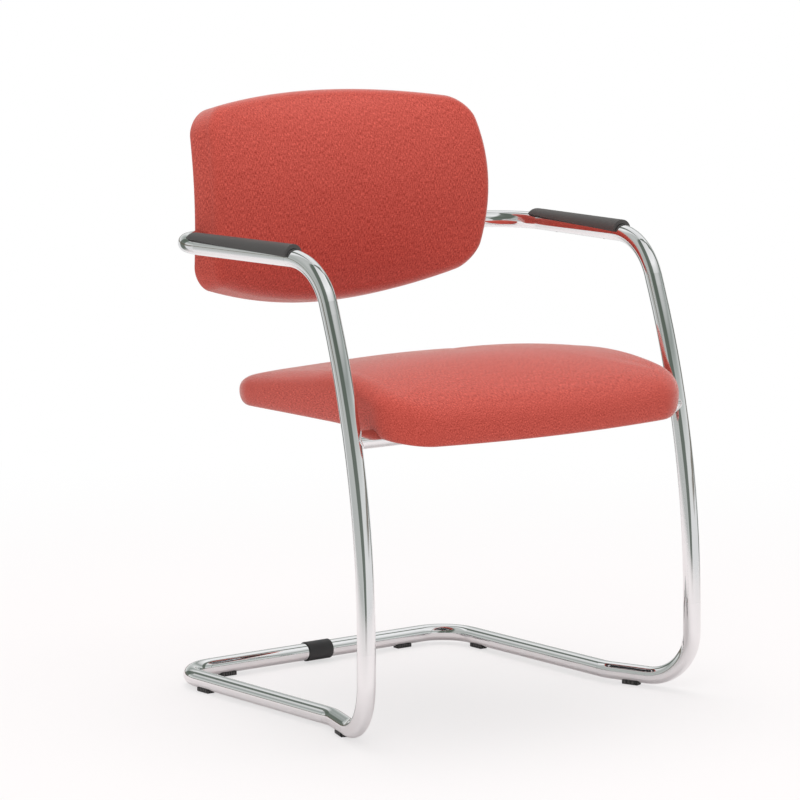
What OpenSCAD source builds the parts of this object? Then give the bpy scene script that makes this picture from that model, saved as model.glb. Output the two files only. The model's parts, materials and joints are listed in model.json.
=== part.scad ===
// Cantilever visitor chair: one bent tube loop, an upholstered seat on a cross tube and an
// upholstered back on the rear bar of the arms.
// Front is -Y, up is +Z, the floor is z = 0, and the chair is symmetric about x = 0.

/* [Frame tube] */
// Outside diameter of the frame tube
tube_d = 25; // [22:0.5:28]
// Wall of the frame tube
tube_wall = 2; // [1.2:0.1:2.5]
// Width of the floor loop at its rear rail, between tube centres
rail_rear_w = 500; // [460:1:540]
// Width of the floor loop where it starts to splay, between tube centres
rail_front_w = 494; // [460:1:530]
// Width between the two feet, between tube centres
foot_w = 581.6; // [560:0.2:620]
// Depth from the feet to the rear rail, between tube centres
base_depth = 497.6; // [440:0.2:540]
// Depth of the splayed part of each floor rail
splay_depth = 131; // [125:1:160]
// Bend radius at the rear corners of the floor loop
rear_bend_r = 55; // [45:1:60]
// Bend radius where a floor rail starts to splay
splay_bend_r = 59; // [50:1:80]
// Bend radius from the floor up into the leg
foot_bend_r = 69.7; // [60:0.1:75]
// Width between the legs at knee height, between tube centres
knee_w = 576; // [560:1:620]
// Height of the corner point of the leg's long curve
knee_z = 357; // [330:1:380]
// How far that corner point lies behind the feet
knee_back = 1.6; // [0:0.1:10]
// Straight run kept between the leg's long curve and its neighbour bends
leg_run = 18; // [10:1:25]
// Bend radius from the leg into the arm
arm_bend_r = 83; // [70:1:90]
// Width between the arms at their front, between tube centres
arm_front_w = 574; // [560:1:620]
// Height of the arm's front corner point
arm_front_z = 641.1; // [620:0.1:680]
// Depth from the feet to the arm's front corner point
arm_front_y = 105.4; // [80:0.1:130]
// Width between the arms at their rear, between tube centres
arm_rear_w = 624.8; // [600:0.2:660]
// Height of the rear bar
arm_rear_z = 643.4; // [620:0.1:680]
// Depth from the feet to the rear bar
arm_rear_y = 436.2; // [420:0.1:470]
// Bend radius from the arm into the rear bar
arm_rear_r = 78; // [65:1:80]
// Gap left between the two ends of the tube, inside the sleeve
joint_gap = 0.6; // [0.4:0.1:1.5]

/* [Tube joint] */
// Length of the spigot inside the joint
spigot_len = 60; // [40:1:90]
// Wall of the spigot
spigot_wall = 1.5; // [1:0.1:2.5]
// Length of the plastic sleeve over the joint
sleeve_len = 43; // [30:1:60]
// Wall of the sleeve
sleeve_wall = 1.6; // [1.2:0.1:3]
// Rounding of the sleeve's rims
sleeve_round = 0.7; // [0.3:0.1:1]

/* [Glides] */
// Height of the tube above the floor
glide_h = 4; // [3:0.5:6]
// Length of a glide
glide_len = 25; // [20:1:30]
// Width of a glide
glide_w = 15; // [12:0.5:18]
// Rounding of a glide's four corners
glide_round = 2.5; // [1:0.5:5]
// How far a glide's cheeks reach up round the tube
glide_cheek = 3.5; // [2:0.5:5]
// Diameter of a glide's peg
peg_d = 6; // [5:0.5:7]
// How far the peg reaches into the tube
peg_reach = 6; // [4:0.5:8]
// Distance of the rear glides from the middle of the chair
glide_rear_x = 161; // [120:1:175]
// Distance of the side glides in front of the rear rail
glide_side_back = 71.6; // [70:0.2:110]
// Distance of the front glides along the splayed run from its corner point
glide_front_run = 40; // [36:1:46]

/* [Arm pads] */
// Radius of the arm pad's back
arm_pad_r = 15.5; // [14.5:0.1:18]
// How far the pad's centre lies above the tube's centre
arm_pad_lift = 3; // [2:0.1:4]
// Height of the pad's lower edge above the tube's centre, at its front end
arm_pad_edge = 2; // [0.5:0.1:4]
// How much higher that edge is at the pad's rear end
arm_pad_taper = 8; // [4:0.5:9]
// How far the pad starts in front of the arm's straight run
arm_pad_front = 6; // [0:0.5:8]
// Length of the pad's round part behind the arm's straight run, to its nose's centre
arm_pad_rear = 10; // [6:0.5:16]
// Distance of the first screw from the pad's front end
arm_screw_first = 38; // [25:1:60]
// Distance between the two screws of an arm pad
arm_screw_pitch = 115; // [80:1:130]
// Diameter of an arm pad screw
arm_screw_d = 4; // [3:0.5:5]
// Diameter of its countersunk head
arm_head_d = 8; // [6.5:0.5:8.5]
// Height of the head's straight rim
arm_head_rim = 0.3; // [0.2:0.05:0.4]
// How deep the head's cone starts in the tube
arm_head_sink = 0.7; // [0.5:0.1:0.9]
// Depth of the screw in the pad
arm_screw_bite = 3.6; // [2.5:0.1:4]

/* [Seat carrier] */
// Height of the cross tube
cross_z = 410; // [390:1:430]
// How far the tips of the cross tube's fish mouths stay back from the middle of the leg
cope_tip = 3; // [2.5:0.1:5]
// Diameter of the hoop's tube
hoop_d = 20; // [16:0.5:22]
// Wall of the hoop's tube
hoop_wall = 1.5; // [1:0.1:2.5]
// Width of the hoop, between tube centres
hoop_w = 300; // [260:1:330]
// Depth of the hoop behind the cross tube, between tube centres
hoop_depth = 300; // [250:1:330]
// Bend radius of the hoop
hoop_bend_r = 50; // [35:1:70]
// Thickness of the tabs on the hoop
tab_t = 3; // [2:0.5:4]
// Length of a tab across the hoop's tube
tab_len = 46; // [40:1:60]
// Width of a tab
tab_w = 28; // [22:1:40]
// Distance of the front tabs behind the cross tube
tab_front = 60; // [40:1:90]
// Distance of the rear tabs behind the cross tube
tab_rear = 225; // [200:1:235]
// Distance of a tab's screw from the middle of the hoop's tube
tab_screw = 26; // [22:0.5:28]

/* [Seat] */
// Gap from the legs, where they come closest, to the line of the seat's front corners
seat_gap = 9.3; // [8:0.1:30]
// How much narrower the seat's rear is than its front, on each side
seat_taper = 42; // [20:1:60]
// How far the line of the seat's front corners lies in front of the cross tube
seat_overhang = 68.4; // [60:0.2:80]
// Depth of the seat between the lines of its front and rear corners
seat_depth = 445.1; // [420:0.1:470]
// Bulge of the seat's front edge
seat_front_bulge = 17.1; // [5:0.1:25]
// Bulge of the seat's rear edge
seat_rear_bulge = 14.2; // [5:0.1:25]
// How far the seat's sides are drawn in
seat_waist = 1.9; // [0:0.1:6]
// Radius of the seat's front corners
seat_front_r = 61; // [50:1:80]
// Radius of the seat's rear corners
seat_rear_r = 60; // [50:1:80]
// Height of the seat's widest line above the cross tube, at the front corners before the lip
seat_rise = 75.1; // [70:0.1:85]
// Fall of that line from front to rear, in degrees
seat_tilt = 7; // [5:0.1:8]
// How far the front lip drops
lip_drop = 58; // [50:1:64]
// Depth over which the front lip drops
lip_len = 222; // [200:1:250]
// Foam above the widest line, at the front
seat_top_front = 27.6; // [24:0.1:32]
// Foam above the widest line, at the rear
seat_top_rear = 23.1; // [20:0.1:28]
// Roll of the seat's top edge
seat_top_roll = 36.7; // [25:0.1:40]
// Crown of the seat
seat_crown = 12.5; // [8:0.1:20]
// Height of the seat's lower rim above the cross tube, at the front corners before the lip
rim_rise = 10.5; // [8:0.1:14]
// Fall of the rim from front to rear, in degrees
rim_tilt = 1; // [0:0.1:1.5]
// How far the rim drops at the front
rim_drop = 19.8; // [15:0.1:22]
// Depth over which the rim drops
rim_len = 184; // [160:1:200]
// Roll of the seat's lower edge
seat_low_roll = 11.2; // [8:0.1:14]
// Thickness of the seat board
board_t = 12; // [9:0.5:14]
// Distance of the seat board's edge from the cushion's side
board_inset = 21; // [19:0.5:26]
// Radius of the board's front bend, on its top
board_bend_r = 130; // [110:1:160]
// Distance in front of the cross tube where the board starts to bend
board_bend_front = 15; // [13:0.5:20]
// Thickness of the black cover under the board
cover_t = 1; // [0.6:0.1:2]
// Distance of the cover's edge inside the board's edge
cover_inset = 3; // [2:0.5:8]

/* [Back] */
// Height of the back's middle above the rear bar
back_rise = 103.2; // [95:0.2:112]
// How far the back's middle lies behind the rear bar
back_behind = 3.9; // [2:0.1:6]
// Lean of the back, in degrees
back_lean = 13.4; // [12:0.1:15]
// Distance from the arms' rear corner line to the line of the back's lower corners
back_gap = 76.5; // [70:0.5:100]
// How much narrower the back's top is, on each side
back_taper = 3.3; // [0:0.1:15]
// Height of the back's upper corner line above its middle
back_up = 73.9; // [70:0.1:90]
// Depth of the back's lower corner line below its middle
back_down = 164.8; // [155:0.1:175]
// Bulge of the back's lower edge
back_low_bulge = 31.7; // [20:0.1:36]
// Bulge of the back's upper edge
back_top_bulge = 26.8; // [15:0.1:32]
// Bulge of the back's sides
back_side_bulge = 12.1; // [5:0.1:14]
// Radius of the back's lower corners
back_low_r = 26.6; // [22:0.1:34]
// Radius of the back's upper corners
back_top_r = 33.4; // [24:0.1:40]
// How far the back's sides come forward of its middle
back_wrap = 22.3; // [15:0.1:24]
// How far the back falls away at its lower corner line
back_arch = 49.4; // [46:0.1:53]
// Front foam of the back at its edge, in front of the widest line
back_front_t = 20; // [18:0.1:22]
// Roll of the back's front edge
back_front_roll = 13.5; // [10:0.1:16]
// Crown of the back's front
back_crown = 18; // [14:0.1:22]
// Depth of the back behind the widest line
back_rear_t = 30; // [28:0.1:34]
// Roll of the back's rear edge
back_rear_roll = 6; // [3:0.1:8]
// Crown of the back's rear
back_rear_crown = 4; // [2:0.1:8]
// Distance of the seam between the two pads behind the widest line
back_seam = 4; // [3:0.1:6]
// Thickness of the back board
back_board_t = 5; // [4:0.1:6]
// Distance of the back board's edge from the pads' side
back_board_inset = 20; // [18:0.1:24]
// Gap between the back board and the rear bar
back_board_gap = 2; // [1.5:0.1:3]

/* [Back brackets] */
// Distance of each bracket from the middle of the chair
bracket_x = 110; // [80:1:130]
// Width of a saddle along the bar
saddle_w = 34; // [26:1:45]
// Distance between a bracket's two screws
bracket_pitch = 46; // [42:1:50]
// Length of a saddle across the bar
saddle_len = 64; // [60:1:70]
// Width of a strap along the bar
strap_w = 24; // [18:1:30]
// Thickness of a strap
strap_t = 2.5; // [1.5:0.1:3]

/* [Screws] */
// Diameter of the seat and back screws
screw_d = 6; // [5:0.5:7]
// Diameter of their heads
screw_head_d = 11; // [9.5:0.5:12]
// Height of their heads
screw_head_h = 3.2; // [2.5:0.1:3.5]
// Width of the hexagon socket in a head
socket_w = 4; // [3:0.5:5]
// Wall of an insert's barrel
insert_wall = 1.2; // [0.8:0.1:1.6]
// Diameter of an insert's flange
flange_d = 18; // [15:0.5:20]
// Thickness of an insert's flange
flange_t = 1.2; // [0.8:0.1:1.6]

/* [Fits] */
// Clearance round the tube for the pieces that sit on it
fit = 0.2; // [0.15:0.05:0.3]
// Gap between two flat faces that are screwed together
face_gap = 0.1; // [0.1:0.05:0.2]
// Gap at a welded joint
weld_gap = 0.15; // [0.1:0.05:0.25]
// Clearance round screws and pegs
hole_fit = 0.3; // [0.2:0.05:0.4]
// Clearance between a soft pad and what it covers
soft_gap = 0.7; // [0.5:0.05:1]
// Gap between the two pads of the back at their seam
seam_gap = 0.3; // [0.2:0.05:0.5]

/* [Hidden] */

// Points on a full circle
round_fn = 48;
$fn = round_fn;
// Points on a very large circle
fine_fn = 192;
// Overrun of every cut
over = 2;
// How much slimmer a bar is in its bends
bend_draw = 0.1;
// How far a bend laps into the straight runs beside it
bend_lap = 1.5;
// Points on each corner of a pad's outline
corner_steps = 5;
// Points on the straight sides of a pad's outline
side_steps = 7;
// Steps of a rolled edge
roll_steps = 4;
// Shares of the way from the middle to the edge, for the rings of a crowned face
crown_shares = [0.94, 0.84, 0.68, 0.46, 0.22];
// Shares of the way from the middle to the edge, for the rings of a flat face
inner_shares = [0.94, 0.88, 0.82, 0.7, 0.4];
// Depth of a screw's socket, as a share of its head's height
socket_share = 0.6;

tube_r = tube_d / 2;
rail_z = glide_h + tube_r;

// ---------- bent tubes ----------
function unit(v) = v / norm(v);
function turn(a, p, b) = 180 - acos(unit(a - p) * unit(b - p));
function setback(a, p, b, r) = r * tan(turn(a, p, b) / 2);
function bend_centre(a, p, b, r) =
    p + unit(unit(a - p) + unit(b - p)) * r / cos(turn(a, p, b) / 2);
function mirrored(p) = [-p.x, p.y, p.z];

// Turns +Z into the direction from a to b, with the origin at a
module along(a, b) {
    d = unit(b - a);
    translate(a)
        rotate([0, acos(d.z), atan2(d.y, d.x)])
            children();
}

// A wide bend is drawn with more points than a tight one
function bend_fn(bend_r) = round_fn * ceil(sqrt(bend_r / tube_d) / 2);

// A round bar bent at p between the runs to a and to b. It laps a little into both runs and is
// a hair slimmer than they are, as a drawn bend is.
module bend(a, p, b, bend_r, r) {
    c = bend_centre(a, p, b, bend_r);
    t = setback(a, p, b, bend_r);
    at_a = unit(p + unit(a - p) * t - c);
    at_b = unit(p + unit(b - p) * t - c);
    from_a = abs(at_a.z) <= abs(at_b.z);
    e1 = from_a ? at_a : at_b;
    e2 = from_a ? unit(p - a) : unit(p - b);
    n = cross(e1, e2);
    lap = bend_lap / bend_r * 180 / PI;
    translate(c)
        rotate([atan2(e2.z, n.z), -asin(e1.z), atan2(e1.y, e1.x)])
            rotate([0, 0, -lap])
                rotate_extrude(angle = turn(a, p, b) + 2 * lap, $fn = bend_fn(bend_r))
                    translate([bend_r, 0])
                        circle(r = r - bend_draw, $fn = round_fn);
}

// A round bar along points, with a bend radius at each inner point
module bent(points, radii, r) {
    last = len(points) - 1;
    backs = [
        for (i = [0 : last])
            i == 0 || i == last ? 0 : setback(points[i - 1], points[i], points[i + 1], radii[i])
    ];
    for (i = [0 : last - 1]) {
        a = points[i] + unit(points[i + 1] - points[i]) * backs[i];
        b = points[i + 1] - unit(points[i + 1] - points[i]) * backs[i + 1];
        along(a, b)
            cylinder(r = r, h = norm(b - a));
    }
    for (i = [1 : last - 1])
        bend(points[i - 1], points[i], points[i + 1], radii[i], r);
}

module ring(outer, inner) {
    difference() {
        circle(r = outer);
        circle(r = inner);
    }
}

// ---------- the frame's line, right half ----------
rear_corner = [rail_rear_w / 2, base_depth, rail_z];
splay_corner = [rail_front_w / 2, splay_depth, rail_z];
foot = [foot_w / 2, 0, rail_z];
knee = [knee_w / 2, knee_back, knee_z];
arm_front = [arm_front_w / 2, arm_front_y, arm_front_z];
arm_rear = [arm_rear_w / 2, arm_rear_y, arm_rear_z];

foot_back = setback(splay_corner, foot, knee, foot_bend_r);
arm_back = setback(knee, arm_front, arm_rear, arm_bend_r);
knee_setback = min(norm(arm_front - knee) - arm_back, norm(knee - foot) - foot_back) - leg_run;
knee_bend_r = knee_setback / tan(turn(foot, knee, arm_front) / 2);

half_radii = [0, rear_bend_r, splay_bend_r, foot_bend_r, knee_bend_r, arm_bend_r, arm_rear_r];
frame_radii = concat(half_radii, reversed(half_radii));
// The whole loop, with its two ends at a distance from the middle of the chair
function frame_points(end) =
    let (half = [[end, base_depth, rail_z], rear_corner, splay_corner, foot, knee, arm_front, arm_rear])
    concat(half, [for (p = reversed(half)) mirrored(p)]);

// The leg's middle at a height on its long curve
knee_centre = bend_centre(foot, knee, arm_front, knee_bend_r);
knee_out = unit(knee - knee_centre);
knee_up = unit(unit(arm_front - knee) - unit(foot - knee));
function leg_at(z) =
    let (
        rise = norm([knee_out.z, knee_up.z]),
        a = asin((z - knee_centre.z) / knee_bend_r / rise) - atan2(knee_out.z, knee_up.z)
    )
    knee_centre + knee_bend_r * (cos(a) * knee_out + sin(a) * knee_up);

// Places of the glides on the right, each with the direction of its run
side_run = unit(splay_corner - rear_corner);
splay_run = unit(foot - splay_corner);
rear_glide_at = [glide_rear_x, base_depth, 0];
side_glide_at = rear_corner + side_run * glide_side_back - [0, 0, rail_z];
front_glide_at = splay_corner + splay_run * glide_front_run - [0, 0, rail_z];
side_glide_turn = atan2(side_run.y, side_run.x);
front_glide_turn = atan2(splay_run.y, splay_run.x);

// The arm's straight run, and the screws of its pad
arm_run = unit(arm_rear - arm_front);
arm_start = arm_front + arm_run * arm_back;
arm_end = arm_rear - arm_run * setback(arm_front, arm_rear, mirrored(arm_rear), arm_rear_r);
arm_slope = asin(arm_run.z);
arm_heading = atan2(arm_run.y, arm_run.x);
arm_pad_start = arm_start - arm_run * arm_pad_front;
arm_screw_places = [
    for (s = [arm_screw_first, arm_screw_first + arm_screw_pitch]) arm_pad_start + arm_run * s
];

// ---------- outlines and ringed pads ----------
// Corner arc of a corner point p, between its neighbours a and b
function corner_arc(a, p, b, r) =
    let (
        t = r / tan(acos(unit(a - p) * unit(b - p)) / 2),
        c = p + unit(unit(a - p) + unit(b - p)) * norm([r, t]),
        from = p + unit(a - p) * t - c,
        to = p + unit(b - p) * t - c,
        a0 = atan2(from.y, from.x),
        a1 = atan2(to.y, to.x),
        sweep = a1 < a0 ? a1 - a0 + 360 : a1 - a0
    )
    [
        for (k = [0 : corner_steps])
            let (a = a0 + sweep * k / corner_steps)
            c + r * [cos(a), sin(a)]
    ];

// Four rounded corners joined by straight sides with points along them
function rounded_loop(corners, radii) =
    let (
        arcs = [
            for (i = [0 : 3])
                corner_arc(corners[(i + 3) % 4], corners[i], corners[(i + 1) % 4], radii[i])
        ]
    )
    [
        for (i = [0 : 3])
            let (here = arcs[i], there = arcs[(i + 1) % 4], a = here[corner_steps], b = there[0])
            each concat(here, [for (k = [1 : side_steps - 1]) a + (b - a) * k / side_steps])
    ];

// The loop with its low, high and side edges bulged as shallow parabolas
function bulged_loop(low_w, high_w, low, high, low_b, high_b, side_b, low_r, high_r) =
    let (
        loop = rounded_loop(
            [[-low_w, low], [low_w, low], [high_w, high], [-high_w, high]],
            [low_r, low_r, high_r, high_r]
        ),
        mid = (low + high) / 2,
        half = (high - low) / 2
    )
    [
        for (p = loop)
            let (
                v = min(1, max(-1, (p.y - mid) / half)),
                u = min(1, abs(p.x) / max(low_w, high_w)),
                down = low_b * (1 - pow(min(1, abs(p.x) / low_w), 2)) * max(0, -v),
                up = high_b * (1 - pow(min(1, abs(p.x) / high_w), 2)) * max(0, v)
            )
            [p.x + sign(p.x) * side_b * (1 - v * v) * u, p.y - down + up]
    ];

// The loop moved in by a distance
function inset_loop(loop, inset) =
    let (m = len(loop))
    [
        for (i = [0 : m - 1])
            let (d = unit(loop[(i + 1) % m] - loop[(i + m - 1) % m]))
            loop[i] - inset * [d.y, -d.x]
    ];

// Share of the full crown at a point between four bulged edges
function crown_share(p, low_w, high_w, low, high, low_b, high_b) =
    let (
        w = low_w + (high_w - low_w) * (p.y - low) / (high - low),
        u = min(1, abs(p.x) / w),
        top = high + high_b * (1 - u * u),
        foot = low - low_b * (1 - u * u),
        v = min(1, abs(2 * p.y - top - foot) / (top - foot))
    )
    (1 - u * u) * (1 - v * v);

function loop_share(loop, middle, share) = [for (p = loop) middle + (p - middle) * share];
function reversed(list) = [for (i = [len(list) - 1 : -1 : 0]) list[i]];

// Closes a stack of rings, listed from the underside's middle round to the top's middle
module ringed(low_middle, rings, high_middle) {
    m = len(rings[0]);
    n = len(rings);
    low = m * n;
    high = low + 1;
    sides = [
        for (k = [0 : n - 2], j = [0 : m - 1])
            let (a = k * m + j, b = k * m + (j + 1) % m)
            each [[a, a + m, b + m], [a, b + m, b]]
    ];
    low_fan = [for (j = [0 : m - 1]) [low, j, (j + 1) % m]];
    high_fan = [for (j = [0 : m - 1]) [high, (n - 1) * m + (j + 1) % m, (n - 1) * m + j]];
    polyhedron(
        points = concat([for (r = rings) each r], [low_middle, high_middle]),
        faces = concat(sides, low_fan, high_fan),
        convexity = 6
    );
}

// ---------- seat ----------
leg_at_cross = leg_at(cross_z);
leg_at_top = leg_at(cross_z + seat_rise + seat_top_front);
cross_y = leg_at_cross.y;
seat_half_front = min(leg_at_cross.x, leg_at_top.x) - tube_r - seat_gap;
seat_half_rear = seat_half_front - seat_taper;
seat_front = cross_y - seat_overhang;
seat_rear = seat_front + seat_depth;
seat_middle = [0, (seat_front + seat_rear) / 2];
seat_loop = bulged_loop(
    seat_half_front, seat_half_rear, seat_front, seat_rear,
    seat_front_bulge, seat_rear_bulge, -seat_waist, seat_front_r, seat_rear_r
);

function seat_mid(y) =
    cross_z + seat_rise - tan(seat_tilt) * (y - seat_front)
    - lip_drop * pow(max(0, lip_len - (y - seat_front)) / lip_len, 2);
function seat_low(y) =
    cross_z + rim_rise - tan(rim_tilt) * (y - seat_front)
    - rim_drop * pow(max(0, rim_len - (y - seat_front)) / rim_len, 2);
function seat_crown_at(p) =
    seat_crown * crown_share(
        p, seat_half_front - seat_top_roll, seat_half_rear - seat_top_roll,
        seat_front + seat_top_roll, seat_rear - seat_top_roll, seat_front_bulge, seat_rear_bulge
    );
function seat_top(y) =
    seat_mid(y) + seat_top_front + (seat_top_rear - seat_top_front) * (y - seat_front) / seat_depth;

// The stack from the cross tube up: cover, board, foam
cover_z = cross_z + tube_r + soft_gap;
board_z = cover_z + cover_t + face_gap;
board_top_z = board_z + board_t;
board_bend_y = cross_y - board_bend_front;
bend_axis_z = board_top_z - board_bend_r;
function board_top(y) =
    y >= board_bend_y ? board_top_z
    : bend_axis_z + sqrt(pow(board_bend_r, 2) - pow(y - board_bend_y, 2));
pocket_inset = board_inset - soft_gap;

function at_height(loop, lift) = [for (p = loop) [p.x, p.y, board_top(p.y) + lift]];

// Side view of a layer of the board, between two depths below its top
module board_section(upper, lower) {
    translate([board_bend_y, board_top_z - lower])
        square([seat_rear + seat_rear_bulge - board_bend_y, lower - upper]);
    intersection() {
        translate([board_bend_y, bend_axis_z])
            ring(board_bend_r - upper, board_bend_r - lower);
        translate([board_bend_y - board_bend_r, bend_axis_z])
            square([board_bend_r, board_bend_r]);
    }
}

// A layer of the board with the plan outline of the seat, moved in by a distance
module board_layer(upper, lower, inset) {
    intersection() {
        translate([0, 0, bend_axis_z])
            linear_extrude(height = board_bend_r + over)
                polygon(inset_loop(seat_loop, inset));
        rotate([90, 0, 90])
            linear_extrude(height = 2 * seat_half_front, center = true)
                board_section(upper, lower);
    }
}

hoop_z = cover_z - face_gap - tab_t - weld_gap - hoop_d / 2;
seat_screw_places = [
    for (side = [-1, 1], back = [tab_front, tab_rear])
        [side * (hoop_w / 2 - tab_screw), cross_y + back, cover_z - face_gap - tab_t]
];

// ---------- screws and inserts ----------
insert_d = screw_d + 2 * insert_wall + hole_fit;
// A button head with its socket below z = 0 and the shank above it
module button_screw(length) {
    difference() {
        translate([0, 0, -screw_head_h])
            intersection() {
                cylinder(d = screw_head_d, h = screw_head_h);
                translate([0, 0, screw_head_d])
                    sphere(r = screw_head_d);
            }
        translate([0, 0, -screw_head_h - over])
            cylinder(d = socket_w, h = over + screw_head_h * socket_share, $fn = 6);
    }
    cylinder(d = screw_d, h = length);
}

// A countersunk screw whose cone starts at z = 0, with a rim below it
module countersunk(head_d, shank_d, rim, length) {
    rotate_extrude()
        polygon([
            [0, -rim],
            [head_d / 2, -rim],
            [head_d / 2, 0],
            [shank_d / 2, (head_d - shank_d) / 2],
            [shank_d / 2, length],
            [0, length]
        ]);
}

// A T-nut with its flange's top at z = 0 and its barrel below
module insert(length) {
    difference() {
        union() {
            translate([0, 0, -flange_t])
                cylinder(d = flange_d, h = flange_t);
            translate([0, 0, -length])
                cylinder(d = insert_d, h = length);
        }
        translate([0, 0, -length - over])
            cylinder(d = screw_d + hole_fit, h = length + 2 * over);
    }
}

// The hole for an insert, with its flange's seat at z = 0
module insert_hole(length) {
    translate([0, 0, -flange_t - face_gap])
        cylinder(d = flange_d + 2 * hole_fit, h = flange_t + face_gap + over);
    translate([0, 0, -length - over])
        cylinder(d = insert_d + hole_fit, h = length + 2 * over);
}

// ---------- back ----------
back_y = arm_rear_y + back_behind;
back_z = arm_rear_z + back_rise;
back_half_low = arm_rear.x - back_gap;
back_half_top = back_half_low - back_taper;
back_loop = bulged_loop(
    back_half_low, back_half_top, -back_down, back_up,
    back_low_bulge, back_top_bulge, back_side_bulge, back_low_r, back_top_r
);
back_middle = [0, (back_up - back_down) / 2];

// The back's own frame: x across, y up along the back, z forward
module back_frame() {
    translate([0, back_y, back_z])
        rotate([90 - back_lean, 0, 0])
            children();
}

// The widest line's surface: sides forward, top and foot falling away
function back_base(p) =
    back_wrap * pow(p.x / back_half_low, 2) - back_arch * pow(p.y / back_down, 2);
function on_base(loop, off, crown = 0, roll = 0) = [
    for (p = loop)
        [
            p.x, p.y,
            back_base(p) + off + crown * crown_share(
                p, back_half_low + back_side_bulge - roll, back_half_top + back_side_bulge - roll,
                roll - back_down, back_up - roll, back_low_bulge, back_top_bulge
            )
        ]
];

// The rear bar in the back's own frame
bar_y = -back_behind * sin(back_lean) - back_rise * cos(back_lean);
bar_z = back_behind * cos(back_lean) - back_rise * sin(back_lean);

// The board is a part of a pipe round an axis behind the back, as round as the back's middle
back_board_r = pow(back_down, 2) / (2 * back_arch);
back_board_rear_r = back_board_r - back_board_t;
bar_reach = back_board_rear_r - back_board_gap - tube_r;
back_axis_z = bar_z - sqrt(pow(bar_reach, 2) - pow(bar_y, 2));
bar_angle = asin(-bar_y / bar_reach);
function on_board(loop, r) = [
    for (p = loop)
        [p.x, p.y, back_axis_z + sqrt(pow(r, 2) - pow(p.y, 2))]
];

// A frame on the bar with z square to the board
module bar_frame(x) {
    back_frame()
        translate([x, bar_y, bar_z])
            rotate([bar_angle, 0, 0])
                children();
}

board_face = back_board_gap + tube_r;
strap_face = -strap_t - face_gap;
// The board's two faces in the bar's frame, and the inserts sunk between them
function board_lift(y, r) = sqrt(pow(r, 2) - pow(y, 2)) - bar_reach;
back_flange_z = board_lift((bracket_pitch + flange_d) / 2, back_board_r) - 2 * face_gap;
back_barrel_z = board_lift((bracket_pitch - insert_d) / 2, back_board_rear_r) + face_gap;
back_pocket_inset = back_board_inset - 2 * soft_gap;
bracket_places = [for (side = [-1, 1], end = [-1, 1]) [side * bracket_x, end * bracket_pitch / 2]];

// ---------- the place of the whole chair ----------
back_rear_loop = inset_loop(back_loop, back_rear_roll);
function back_rear_ring(share) =
    on_base(
        loop_share(back_rear_loop, back_middle, share),
        -back_rear_t, -back_rear_crown, back_rear_roll
    );
back_tail = max([
    for (share = concat([1], crown_shares), p = back_rear_ring(share))
        back_y + p.y * sin(back_lean) - p.z * cos(back_lean)
]);
front_edge = min([for (p = seat_loop) p.y]);
rear_edge = max(back_tail, base_depth + tube_r + fit + sleeve_wall);
module placed() {
    translate([0, -(front_edge + rear_edge) / 2, 0])
        children();
}

// ---------- frame ----------
module peg_hole(at) {
    translate(at)
        cylinder(d = peg_d + hole_fit, h = rail_z);
}

module frame_tube() {
    color("silver")
        placed()
            difference() {
                bent(frame_points(joint_gap / 2), frame_radii, tube_r);
                bent(frame_points(joint_gap / 8), frame_radii, tube_r - tube_wall);
                for (side = [0, 1])
                    mirror([side, 0, 0]) {
                        peg_hole(rear_glide_at);
                        peg_hole(side_glide_at);
                        peg_hole(front_glide_at);
                        for (p = arm_screw_places)
                            translate([p.x, p.y, p.z - tube_r + arm_head_sink])
                                countersunk(
                                    arm_head_d + hole_fit, arm_screw_d + hole_fit,
                                    over, 2 * tube_d
                                );
                    }
            }
}

module frame_spigot() {
    color("gray")
        placed()
            translate([0, base_depth, rail_z])
                rotate([0, 90, 0])
                    linear_extrude(height = spigot_len, center = true)
                        ring(tube_r - tube_wall - fit, tube_r - tube_wall - fit - spigot_wall);
}

module frame_sleeve() {
    inner = tube_r + fit;
    outer = inner + sleeve_wall;
    end = sleeve_len / 2;
    color("black")
        placed()
            translate([0, base_depth, rail_z])
                rotate([0, 90, 0])
                    rotate_extrude()
                        union() {
                            translate([inner, -end])
                                square([sleeve_wall - sleeve_round, sleeve_len]);
                            translate([inner, sleeve_round - end])
                                square([sleeve_wall, sleeve_len - 2 * sleeve_round]);
                            for (s = [-1, 1])
                                translate([outer - sleeve_round, s * (end - sleeve_round)])
                                    circle(r = sleeve_round);
                        }
}

// A glide under a tube along x, with its foot on the floor at the origin
module glide() {
    top = glide_h + glide_cheek;
    difference() {
        intersection() {
            linear_extrude(height = top)
                union() {
                    square([glide_len - 2 * glide_round, glide_w], center = true);
                    square([glide_len, glide_w - 2 * glide_round], center = true);
                    for (x = [-1, 1], y = [-1, 1])
                        translate([x * (glide_len / 2 - glide_round), y * (glide_w / 2 - glide_round)])
                            circle(r = glide_round);
                }
            rotate([90, 0, 90])
                linear_extrude(height = glide_len, center = true)
                    polygon([
                        [-glide_w / 2 + glide_h / 2, 0],
                        [glide_w / 2 - glide_h / 2, 0],
                        [glide_w / 2, glide_h / 2],
                        [glide_w / 2, top],
                        [-glide_w / 2, top],
                        [-glide_w / 2, glide_h / 2]
                    ]);
        }
        translate([0, 0, rail_z])
            rotate([0, 90, 0])
                cylinder(r = tube_r + fit, h = glide_len + over, center = true);
    }
    translate([0, 0, glide_h / 2])
        cylinder(d = peg_d, h = glide_h / 2 + peg_reach - peg_d / 4);
    translate([0, 0, glide_h + peg_reach - peg_d / 4])
        cylinder(d1 = peg_d, d2 = peg_d / 2, h = peg_d / 4);
}

module glide_on(at, heading, side) {
    color([0.15, 0.15, 0.16])
        placed()
            mirror([side, 0, 0])
                translate(at)
                    rotate([0, 0, heading])
                        glide();
}

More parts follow.
